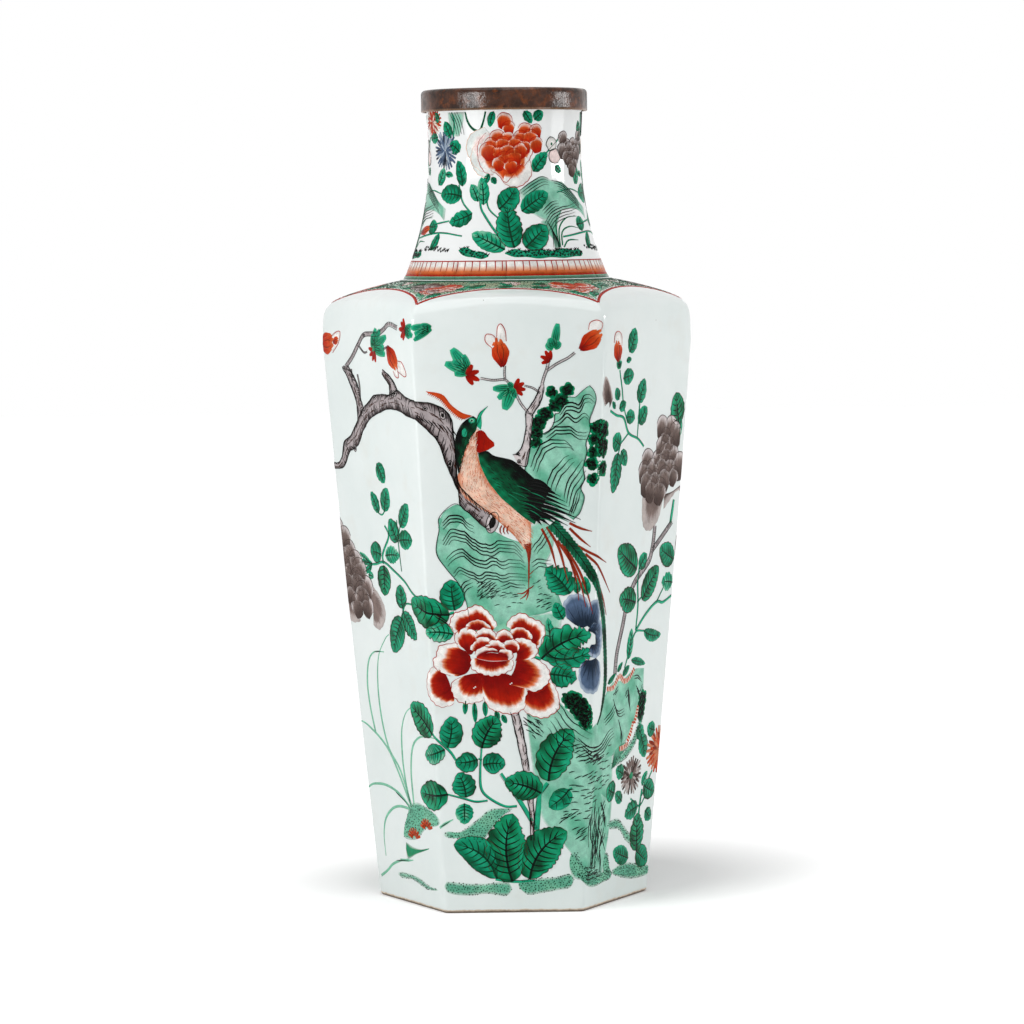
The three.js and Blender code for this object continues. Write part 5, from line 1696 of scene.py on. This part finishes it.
# right panel: an aubergine peony over a rock, chrysanthemums below
def rightRockTop(coats, chart):
    paint, ink = coats
    wash(paint, chart, [(-38, 108), (-32, 124), (-22, 133), (-10, 133), (4, 138), (17, 137.5)],
         [(-36, 90), (-22, 88), (-12, 91), (0, 97), (8, 106), (18, 118)], "turquoise", "turquoiseDeep",
         "rock", 0.05, under="turquoise")
    wash(paint, chart, [(-15, 95), (-16, 88), (-18, 80)], [(0, 97), (-2, 90), (-13, 82)], "turquoiseDeep",
         "mossGreen", 0.07)
    wash(paint, chart, [(-30, 70), (-26, 62), (-24, 50), (-22, 40)],
         [(-14, 62), (-17, 56), (-18, 46), (-15, 40)], "turquoise", "turquoiseDeep", 0.07,
         under="turquoise")
    for points, times in (([(-20, 123), (-16, 117), (-12, 115), (-6, 116)], 3),
            ([(-2, 128), (-1, 121), (1, 116)], 3), ([(-30, 112), (-22, 116), (-18, 120)], 3),
            ([(4, 134), (9, 134), (14, 131)], 2), ([(8, 128), (13, 124), (16, 128)], 3),
            ([(-12, 110), (-8, 103), (-8, 98)], 3), ([(-42, 96), (-32, 98), (-24, 104), (-18, 106)], 4),
            ([(-28, 63), (-24, 58), (-22, 50)], 3), ([(-28, 48), (-24, 42), (-20, 36)], 3),
            ([(-26, 36), (-24, 28), (-24, 22)], 2)):
        waves(ink, chart, points, times, (1.0, -1.7), 0.6)
    for polygon, slope in (([(-20, 130), (-14, 130), (-14, 125), (-20, 125)], 40),
            ([(-6, 128), (-2, 128), (-2, 122), (-6, 122)], 30),
            ([(-28, 64), (-22, 64), (-20, 50), (-26, 50)], 70),
            ([(-26, 46), (-20, 46), (-20, 38), (-26, 38)], 75),
            ([(-42, 92), (-20, 96), (-20, 74), (-42, 64)], 12),
            ([(-36, 50), (-30, 50), (-28, 24), (-36, 26)], 84)):
        dashes(ink, chart, polygon, 2.6 if slope > 12 else 4.4, 4.6, slope)
    moss(coats, chart, [(12, 110), (13, 120), (17, 124), (21, 123), (20, 110), (16, 106)])
    stipple(coats, chart, [(-14, 88), (-4, 90), (8, 97), (17, 110)],
            [(-16, 82), (0, 85), (12, 93), (20, 108)])
    for line in ([(-28, 130), (-21, 130), (-14, 136), (-8, 132.5), (-2, 133), (4, 138)],
                 [(9, 106), (11, 111), (12, 115)], [(2, 96), (5, 101), (7, 106)],
                 [(-8, 92), (-3, 92.5), (2, 94)]):
        flecks(paint, chart, line, 3.2)
    manyLeaves(coats, chart, (((-28, 133), (-19, 138), 4, "mid"), ((-17, 139), (-11, 144), 4, "mid"),
               ((-10, 136), (-2, 141), 5, "mid"), ((0, 144), (18, 140), 5, "mid")))


def paintRight(place, half):
    coats = newCoats(place)
    paint, chart = coats[0], ("face", half + 1)
    rightRockTop(coats, chart)
    stipple(coats, chart, [(-15, 50), (-4, 50), (6, 43), (16, 36)], [(-14, 45), (-2, 43), (6, 36), (14, 32)])
    stipple(coats, chart, [(-6, 20), (6, 22), (20, 20), (38, 16)], [(-4, 16), (10, 12), (24, 10), (38, 10)])
    stipple(coats, chart, [(-46, 24), (-34, 24), (-20, 21), (-12, 22)],
            [(-38, 15), (-30, 13), (-18, 14), (-9, 15)])
    stipple(coats, chart, [(-18, 32), (-14, 30), (-12, 24)], [(-19, 20), (-14, 17), (-9, 17)])
    for points, width in (([(20, 222), (19, 212), (16, 203), (10, 198), (-2, 190), (-10, 178), (-14, 165),
            (-19, 150), (-20, 137)], 3.6), ([(19, 208), (30, 215), (42, 223)], 3.2)):
        twig(coats, chart, points, width, "bark")
    stems(coats, chart, (([(3, 199), (2, 190), (4, 176), (3, 162)], 1.5), ([(3, 178), (9, 181)], 1.2),
          ([(0, 180), (-4, 178)], 1.0), ([(3, 161), (15, 170), (28, 176), (36, 175), (47, 178)], 2.0),
          ([(-8, 140), (-4, 148), (3, 160), (14, 160)], 1.4), ([(28, 176), (34, 182), (38, 186)], 1.1),
          ([(-44, 293), (-36, 290), (-27, 288), (-20, 279), (-8, 275), (0, 270)], 1.6),
          ([(-8, 298), (-9, 275)], 1.0), ([(-35, 316), (-31, 305), (-28, 295), (-22, 285)], 1.0),
          ([(-20, 279), (-30, 273)], 1.0), ([(-29, 274), (-32, 266)], 0.9),
          ([(24, 64), (22, 50), (24, 36)], 1.6), ([(10, 60), (22, 54), (30, 60)], 1.2),
          ([(36, 74), (24, 60)], 1.0), ([(40, 222), (43, 236)], 3.0)))
    manyLeaves(coats, chart, (((-24, 326), (-17, 340), 12, "mid"), ((-27, 321), (-21, 322), 4, "mid"),
               ((-30, 311), (-17, 313), 10, "dark"), ((-34, 299), (-38, 306), 7, "dark"),
               ((-38, 294), (-42, 298), 4, "mid"), ((-33, 294), (-25, 297), 7, "dark"),
               ((-24, 288), (-13, 287), 9, "mid"), ((-9, 296), (-3, 310), 12, "dark"),
               ((-8, 284), (2, 293), 11, "dark"), ((-29, 272), (-39, 277), 12, "mid"),
               ((-32, 268), (-36, 245), 13.5, "dark"), ((-28, 269), (-21, 260), 9, "mid"),
               ((44, 281), (38, 300), 18, "dark"), ((46, 285), (45, 272), 6, "light"),
               ((0, 198), (-25, 212), 19, "dark"), ((3, 198), (12, 206), 10, "mid"),
               ((1, 178), (-20, 182), 16, "dark"), ((9, 179), (28, 197), 16, "dark"),
               ((47, 200), (28, 208), 15, "dark"), ((47, 186), (33, 187), 12, "light"),
               ((14, 160), (36, 156), 8, "mid"), ((-4, 145), (-2, 163), 8, "light"),
               ((13, 103), (21, 94), 10, "dark"), ((36, 98), (26, 101), 10, "dark"),
               ((18, 97), (25, 83), 12, "dark"), ((-1, 76), (-11, 80), 10, "dark"),
               ((-11, 66), (-21, 70), 13, "dark"), ((-1, 60), (-10, 66), 8, "mid"),
               ((20, 54), (4, 50), 12, "dark"), ((26, 66), (40, 60), 13, "dark"),
               ((30, 50), (38, 44), 9, "mid"), ((22, 27), (20, 50), 18, "dark"),
               ((12, 24), (-8, 31), 12, "dark"), ((22, 27), (37, 18), 14, "dark"),
               ((24, 66), (30, 74), 6, "light")))
    budOf(coats, chart, (-37, 321), (-39.5, 333), 10,
          ([(-43.5, 332), (-42, 337), (-38, 338.5), (-34, 336), (-34, 330)],))
    tuft(coats, chart, (-36, 317), ((60, 5, 3.5), (120, 5, 3.5), (90, 5, 4)))
    petal(paint, chart, [(-45, 295), (-46, 298), (-49, 297)],
          [(-41.5, 300), (-46, 308), (-52, 313), (-54, 303), (-51, 296)], level["flower"],
          ("aubergineDark", "aubergine", "aubergine", "aubergineLight"), 1.5, 2, 5, 0.3, None,
          veins="aubergineDark")
    moss(coats, chart, [(-56, 288), (-48, 287), (-46, 280), (-50, 277), (-46, 272), (-48, 267), (-56, 268)])
    moss(coats, chart, [(-53, 264), (-48, 262), (-47, 257), (-53, 257)])
    for inner, rim in (([(10, 245), (18, 246), (26, 244)],
            [(2, 240), (3, 228), (7, 221), (16, 220), (24, 226), (28, 236)]),
            ([(30, 240), (40, 241), (50, 244)], [(30, 231), (36, 235), (46, 241), (54, 240)])):
        petal(paint, chart, inner, rim, level["leaf"] - 0.03,
              ("aubergineDark", "aubergine", "aubergineLight", "aubergineLight"), 3.0, 7.0, 5.0, 0.6, None,
              0.1, veins="aubergine")
    shellFlower(paint, chart, ((30, 276, 11, 9), (6, 257, 11, 9), (28, 256, 24, 12), (22, 248, 14, 8)), 7.5,
                "aubergine", 1.6)
    daisy(paint, chart, (9, 74), 13.5, "aubergineDark aubergine aubergineLight", None)
    daisy(paint, chart, (43, 86), 16, "plume vermilion salmonDeep", None, 0.95, None)
    finishCoats(coats)


# neck: a red peony with a rock and a pierced border under it
def onNeck(points):
    # degrees from the front and height, turned into the neck's chart
    return [(math.radians(turn) * neckMeasure, z) for turn, z in points]


def neckBorder(paint, chart):
    top, white, foot = 379.5, 376.0, 371.5
    for start in range(-180, 180, 30):
        line = np.linspace(start, start + 30, 13)
        grid = np.array([onNeck([(turn, z) for z in (foot, 373.6, white - 0.6, white + 0.8, top)])
                for turn in line])
        shade = np.array([tinted(name, 0.6) for name in ("vermilion", "orange", "salmon", "petalWhite",
                "petalWhite")])
        lay(paint, chart, grid, np.repeat(shade[None], 13, 0), level["rock"])
        grid = np.array([onNeck([(turn, z) for z in (368.75, 369.4, 370.2)]) for turn in line])
        lay(paint, chart, grid, tinted("lappetDark"), 0.42)
        for z, width, tone in ((top, 0.55, "ironRed"), (foot - 0.4, 0.9, "ironRed"),
                (370.5, 0.7, "paleGreen")):
            brush(paint, chart, onNeck([(turn, z) for turn in line]), width, tinted(tone, thin),
                  level["leaf"], (1, 1))
        for turn in np.arange(start, start + 30, 4.6):
            place = turn + hand.uniform(-0.5, 0.5)
            brush(paint, chart, onNeck([(place, top), (place + 0.2, white), (place, 373.6)]), 0.5,
                  tinted("ironRed", thin), level["leaf"] + 0.01, (1, 0.5), 1.5)


def neckRock(coats, chart, at):
    paint, ink = coats
    wash(paint, chart, at((9, 420), (18, 425), (27, 428.5), (36, 426), (46, 425), (55, 420), (63, 415),
         (73, 410)), at((14, 409), (22, 405), (30, 402), (38, 407), (48, 409), (58, 409), (66, 407),
         (73, 403)), "turquoise", "turquoiseDeep", "ground", patch=5.0)
    wash(paint, chart, at((24, 402), (27, 396), (31, 392), (32, 386)),
         at((44, 410), (38, 402), (36, 396), (35, 386)), "turquoise", "turquoiseDeep", 0.066)
    for points, times in (([(10, 420), (18, 424.5), (27, 428), (33, 427)], 4),
            ([(36, 426), (44, 424.5), (50, 422), (56, 419), (64, 414)], 6),
            ([(27, 401), (33, 407), (42, 410), (50, 411), (60, 413)], 5),
            ([(29, 402), (32, 396), (31, 387)], 5), ([(26, 408), (34, 413), (40, 414)], 3)):
        waves(ink, chart, at(*points), times, (0.7, -1.5), 0.5)
    blades(paint, chart,
           (at((36, 387), (38, 398), (46, 404), (58, 405)), at((38, 388), (40, 396), (48, 399), (57, 398)),
            at((39, 387), (44, 391), (54, 391)), at((35, 387), (36, 402), (42, 408))), 0.9, "mossGreen")


def neckPeony(paint, chart, at):
    # inner edge, rim, white width; the two pale petals on the left come first, the pointed lower one last
    red = flowerTones["scarlet"][:4]
    for inner, rim, white, tones in ((((-14, 436), (-14, 445), (-11, 453)),
            ((-17, 431), (-25, 436), (-30, 445), (-26, 453), (-15, 457)), 4.0,
            ("blush", "blush", "petalWhite", "bare")),
            (((-14, 434), (-16, 440), (-16, 446)),
             ((-14, 427.5), (-21, 430), (-26, 436), (-25, 444), (-20, 449)), 4.0,
             ("blush", "petalWhite", "petalWhite", "bare")),
            (((-6, 436), (-7, 442), (-7, 449)),
             ((-9, 429), (-16, 431.5), (-20.5, 439), (-20, 448), (-14, 454)), 3.6, red),
            (((0, 431), (6, 436), (12, 441)),
             ((-2, 425), (5, 422), (13, 423.5), (19.5, 429.5), (18.5, 438)), 6.0, red),
            (((8, 438), (9, 446), (9, 452)), ((13, 433.5), (18, 438), (22, 445), (25, 452), (21, 457.5)),
             1.6, red),
            (((-9, 441), (0, 442), (9, 441)), ((-11, 432), (-5, 429), (0, 424.8), (6, 429.5), (12, 435)),
             0.6, red)):
        petal(paint, chart, at(*inner), at(*rim), level["flower"] - 0.012, tones, white, 2.6, 4, 0.5,
              "ironRed" if tones is red else "salmon")
    blobs = [(*at((turn, z))[0], wide, tall) for turn, z, wide, tall in
             ((1, 459.5, 5, 5), (17, 450, 6.5, 7), (0, 445, 11.5, 9), (1, 438, 8, 5))]
    shellFlower(paint, chart, blobs, 4.6, "scarlet", 0.9, level["flower"] + 0.01)


def paintNeck():
    paint, ink = coats = newCoats("neck")
    chart = ("neck", 0)
    neckBorder(paint, chart)
    leaves = (((-44, 451), (-50, 461), 8, "dark"), ((-36, 443), (-46, 448), 9, "mid"),
              ((-33, 423), (-38, 438), 8, "dark"), ((-33, 417), (-54, 418), 12, "dark"),
              ((-24, 407), (-42, 402), 10, "mid"), ((-5, 409.5), (7, 422.5), 13, "dark"),
              ((11, 408), (32, 418.5), 12, "mid"), ((5, 387), (1, 413), 15, "dark"),
              ((12, 387), (28, 399.5), 14, "mid"), ((-1, 386), (-23, 395.5), 11, "light"),
              ((21, 431), (33, 442), 9, "mid"), ((56, 400), (67, 400), 9, "mid"),
              ((22, 461), (29, 465.5), 7, "dark"), ((-50, 430), (-42, 429), 4, "light"),
              ((-12, 430), (-15, 424), 4, "mid"), ((-16, 412), (-18, 428), 8, "light"),
              ((14, 466), (20, 459), 6, "mid"), ((-20, 414), (-26, 424), 7, "light"),
              ((-58, 466), (-62, 460), 7, "dark"), ((-60, 452), (-73, 452), 7, "mid"),
              ((62, 424), (68, 434), 8, "light"), ((40, 434), (45, 430), 5, "mid"),
              ((-10, 428), (-7, 424), 4, "mid"), ((-8, 466), (-11, 457), 5, "dark"),
              ((64, 386), (70, 396), 6, "mid"))
    for turn in (0, 120, 240):   # the same plants come three times round the neck
        at = lambda *points: onNeck([(place + turn, z) for place, z in points])
        neckRock(coats, chart, at)
        wash(paint, chart, at((-46, 466), (-45, 459), (-40, 452)), at((-31, 466), (-32, 460), (-36, 452)),
             "turquoise", "paleGreen", "ground")
        waves(ink, chart, at((-44, 466), (-40, 459), (-38, 452)), 4, (1.8, 0.3), 0.4)
        for width, tone in ((1.5, "mossGreen"), (0.45, "ink")):
            brush(paint, chart, at((-30, 466), (-28, 460), (-24, 456), (-19, 455), (-16, 460), (-14, 466)),
                  width, tinted(tone), level["rock"] + 0.02 * (tone == "ink"), (0.7, 0.7))
        manyLeaves(coats, chart,
                   [(*at(base, tip), width, tone) for base, tip, width, tone in leaves
                    if not (turn and base[0] < -50)])
        stems(coats, chart,
              ((at((0, 388), (-14, 405), (-18, 412), (-18, 424)), 1.3),
               (at((-24, 407), (-32, 414), (-36, 424)), 1.0), (at((-5, 404), (-12, 410), (-14, 418)), 0.9),
               (at((-42, 403), (-58, 401), (-64, 400)), 0.9), (at((-80, 393), (-50, 396), (-30, 394)), 1.0),
               (at((-54, 419), (-66, 421), (-80, 419)), 0.7), (at((-42, 450), (-40, 460), (-42, 466)), 1.0),
               (at((31, 441), (40, 447), (46, 452)), 0.9)))
        for low, high in ((((-31, 385.6), (-28, 383.2), (-24, 382), (-20, 381.6), (-15, 380.7), (-11, 382)),
                ((-31, 386), (-28, 387.6), (-24, 387), (-20, 385.2), (-15, 385), (-11, 382.6))),
                (((-1, 383.6), (5, 381.6), (12, 381.6), (20, 380.6), (28, 381.3), (37, 380.7), (46, 381.5),
                  (52, 381.6), (54.5, 383)), ((-1, 384.2), (5, 386.4), (12, 385.2), (20, 386.2), (28, 385),
                 (37, 386.4), (46, 385.2), (52, 385.8), (54.5, 383.6)))):
            wash(paint, chart, at(*high), at(*low), "jade", "leafGreen", "moss", soft=0.3, under="jade")
            sprigs(ink, chart, at(*low, *high[::-1]), 1.7, 1.25)
        sprigs(ink, chart, at((-63, 385.6), (-38, 384.4), (-38, 386), (-50, 387.6), (-62, 387.4)), 1.7, 1.2)
        if turn < 240:
            blobs = [(*at((place, z))[0], wide, tall) for place, z, wide, tall in ((51, 446, 5, 6),
                     (62, 441, 9, 9), (73, 447, 5, 7))]
            shellFlower(paint, chart, blobs, 4.4, "aubergine", 0.9, level["leaf"])
        # a white flower and its bud beside it, drawn with a thin line
        for place, reach in (((37, 447), 4.0), ((40, 440), 4.6)):
            centre = at(place)[0]
            disc(paint, chart, centre, reach, tinted("petalWhite" if reach < 4.5 else "blush"), level["leaf"])
            ring = [(centre[0] + reach * math.cos(a), centre[1] + reach * math.sin(a))
                    for a in np.linspace(0.4, 6.5, 14)]
            draw(ink, chart, jitter(ring, 0.4), 0.35, "greenInk", (0.7, 0.7), 1.0)
        dots(paint, chart, at((37, 447)), 1.1, tinted("forest"), level["flower"], 8)
        neckPeony(paint, chart, at)
        if turn != 120:
            daisy(paint, chart, at((-51, 444))[0], 11.5, "blueDark blue blue blueLight", None, 1.0, None)
            daisy(paint, chart, at((-67, 461))[0], 11, "vermilion ironRed vermilion straw", None, 0.8, None)
            budOf(coats, chart, *at((-78, 396), (-62, 399)), 5)
    finishCoats(coats)


# the three rear faces carry the same plants again, turned half round and drawn afresh
for place, half, paintFace in (("front", 0, paintFront), ("left", 0, paintLeft), ("right", 0, paintRight),
        ("back", 3, paintFront), ("back_right", 3, paintLeft), ("back_left", 3, paintRight)):
    paintFace(place, half)
paintNeck()


# shoulder: a lappet over each face, its ground dark and stippled, with flowers at the corners
lappetRadius = 62.6   # of its upper edge
lappet = [(-51.9, 89.9), (-43, 86.3), (-34, 83.9), (-18, 81.3), (0, 80.4), (18, 81.3), (34, 83.9),
          (43, 86.3), (51.9, 89.9)]


def paintShoulder():
    paint, ink = coats = newCoats("shoulder")
    for face in range(6):
        chart = ("shoulder", face)
        top = [(lappetRadius * math.sin(turn), lappetRadius * math.cos(turn))
               for turn in np.radians(np.linspace(-30, 30, 9))]
        wash(paint, chart, top, [(x * 0.985, b - 0.6) for x, b in lappet], "lappet", "turquoiseDeep",
             "ground", 0.05, under="lappetDark", ends=False, patch=6.0)
        for share, width, lift in ((1.02, 2.0, level["rock"]), (0.994, 1.5, 0.45)):
            brush(paint, chart, [(x * share, b * share) for x, b in top], width, tinted("lappetDark"), lift,
                  (1, 1))
        dots(ink, chart, scattered([*top, *lappet[::-1]], 2.0), 0.36, tinted("greenInk", thin),
             level["line"] - 0.02, 5)
        brush(paint, chart, lappet, 1.5, tinted("ironRed", thin), level["flower"], (1, 1))
        brush(paint, chart, [(x, b - 1.3) for x, b in lappet], 0.8, tinted("petalWhite", thin),
              level["flower"] - 0.01, (1, 1))
        manyLeaves(coats, chart, (((-22, 76), (-12, 72), 7, "mid"), ((14, 78), (26, 74), 7, "dark"),
                   ((-30, 78), (-22, 70), 7, "light"), ((4, 74), (-4, 68), 6, "light"),
                   ((22, 68), (14, 71), 6, "mid"), ((-6, 78), (4, 77), 5, "dark"),
                   ((36, 80), (46, 84), 6, "light"), ((-38, 81), (-47, 84), 6, "mid")))
        shellFlower(paint, chart, ((-38, 72, 10, 6.5),), 4.2, "scarlet", 1.2)
        shellFlower(paint, chart, ((35, 71, 9, 5.5),), 4.2, "aubergine" if face % 2 else "scarlet", 1.2)
        shellFlower(paint, chart, ((22, 73, 3, 2.5),), 3, "aubergine", 0.5)
        daisy(paint, chart, (2, 70), 6, "petalWhite blush", "ironRed", 0.8)
    finishCoats(coats)


paintShoulder()


# the floor glows white except in an oval round the foot that leans back to the right: that dim oval is partly
# the lamps' real shadow and partly painted shadow
stage = dict(floorSize=12, white=0.92, ovalPlace=(0.035, 0.05, 0), ovalTurn=22, ovalScale=(1.05, 0.85, 1),
             paintedShadowTo=0.08, brightFrom=0.2, glowOutsideShadow=0.46, skyOnVase=0.16, lampDistance=0.72, lampAim=0.25)


def makeStage():
    bpy.ops.mesh.primitive_plane_add(size=stage["floorSize"], location=(0, 0, 0))
    floor = bpy.context.object
    floor.name = "studio_floor"
    material, tree, shader, place = newMaterial("white_paper", Roughness=0.9)
    shader.inputs["Base Color"].default_value = (stage["white"], stage["white"], stage["white"], 1)
    shader.inputs["Specular IOR Level"].default_value = 0.0
    ray = tree.nodes.new("ShaderNodeLightPath")
    seen = math2(tree, "MAXIMUM", ray.outputs["Is Camera Ray"], ray.outputs["Is Glossy Ray"])
    glow = addNode(tree, "ShaderNodeEmission", {"Color": (1, 1, 1, 1)})
    oval = addNode(tree, "ShaderNodeMapping",
            {"Vector": place, "Location": stage["ovalPlace"],
             "Rotation": (0, 0, math.radians(stage["ovalTurn"])), "Scale": stage["ovalScale"]},
            vector_type="TEXTURE")
    away = addNode(tree, "ShaderNodeVectorMath", {0: oval.outputs[0]}, operation="LENGTH").outputs["Value"]
    # inside the oval the glow falls to nothing, which lays painted shadow round the foot
    glowOutsideShadow = rangeMap(tree, away, stage["paintedShadowTo"], stage["brightFrom"], 0.0, stage["glowOutsideShadow"])
    tree.links.new(math2(tree, "MULTIPLY", seen, glowOutsideShadow), glow.inputs["Strength"])
    both = addNode(tree, "ShaderNodeAddShader", {0: shader.outputs[0], 1: glow.outputs[0]})
    tree.links.new(both.outputs[0], tree.nodes["Material Output"].inputs["Surface"])
    floor.data.materials.append(material)
    world = bpy.data.worlds.new("studio")
    bpy.context.scene.world = world
    world.use_nodes = True
    tree = world.node_tree
    ray = tree.nodes.new("ShaderNodeLightPath")
    seen = math2(tree, "MAXIMUM", ray.outputs["Is Camera Ray"], ray.outputs["Is Transmission Ray"])
    seen = math2(tree, "MAXIMUM", seen, ray.outputs["Is Glossy Ray"])
    tree.links.new(rangeMap(tree, seen, 0.0, 1.0, stage["skyOnVase"], 1.0),
            tree.nodes["Background"].inputs["Strength"])
    tree.nodes["Background"].inputs["Color"].default_value = (1, 1, 1, 1)


def addSoftbox(name, azimuth, height, size, power):
    # azimuth in degrees from the front, to the right
    turn = frontAngle + math.radians(azimuth)
    light = bpy.data.lights.new(name, "AREA")
    light.shape, light.size, light.size_y, light.energy = "RECTANGLE", size[0], size[1], power
    lamp = bpy.data.objects.new(name, light)
    bpy.context.scene.collection.objects.link(lamp)
    away = stage["lampDistance"]
    lamp.location = (away * math.cos(turn), away * math.sin(turn), height)
    aim = Vector((0, 0, stage["lampAim"])) - lamp.location
    lamp.rotation_euler = aim.to_track_quat("-Z", "Y").to_euler()


def addSkylight(name, azimuth, height, strength, spread):
    # wide soft light from far above
    light = bpy.data.lights.new(name, "SUN")
    light.energy, light.angle = strength, math.radians(spread)
    lamp = bpy.data.objects.new(name, light)
    bpy.context.scene.collection.objects.link(lamp)
    turn, rise = frontAngle + math.radians(azimuth), math.radians(height)
    away = Vector((math.cos(turn) * math.cos(rise), math.sin(turn) * math.cos(rise), math.sin(rise)))
    lamp.location = away * 2
    lamp.rotation_euler = (-away).to_track_quat("-Z", "Y").to_euler()


cameraView = dict(distance=2300.0, height=400.0, azimuth=-0.388, pitch=4.246, yaw=-0.0441, roll=-0.693,
                  focal=3862.9, frame=1024)


def makeCamera():
    side, pitch = math.radians(cameraView["azimuth"]), math.radians(cameraView["pitch"])
    aim, roll = side + math.radians(cameraView["yaw"]), math.radians(cameraView["roll"])
    place = Vector((math.sin(side), -math.cos(side), 0)) * cameraView["distance"]
    place.z = cameraView["height"]
    forward = Vector((-math.sin(aim) * math.cos(pitch), math.cos(aim) * math.cos(pitch), -math.sin(pitch)))
    right = forward.cross(Vector((0, 0, 1))).normalized()
    up = right.cross(forward)
    across = right * math.cos(roll) + up * math.sin(roll)
    upright = up * math.cos(roll) - right * math.sin(roll)
    data = bpy.data.cameras.new("camera")
    data.sensor_width = 36
    data.lens = data.sensor_width * cameraView["focal"] / cameraView["frame"]
    data.clip_start, data.clip_end = 0.05, 50
    camera = bpy.data.objects.new("camera", data)
    bpy.context.scene.collection.objects.link(camera)
    turn = Matrix((across, upright, -forward)).transposed()
    camera.matrix_world = Matrix.Translation(place * mm) @ turn.to_4x4()
    bpy.context.scene.camera = camera


makeStage()
for name, azimuth, height, size, power in (
        ("softbox_right", 84, 0.45, (0.3, 0.15), 0.28), ("slit_right", 84, 0.5, (0.3, 0.04), 0.85),
        ("softbox_left", -44, 0.45, (0.34, 0.15), 0.5), ("slit_left", -44, 0.5, (0.34, 0.04), 1.3),
        ("strip_right", 62, 0.13, (0.11, 0.26), 0.65), ("strip_left", -58, 0.13, (0.12, 0.26), 0.45)):
    addSoftbox(name, azimuth, height, size, power)
addSkylight("skylight", -10, 76, 1.6, 70)
makeCamera()
bpy.context.scene.view_settings.view_transform = "Standard"

print("scene ready")
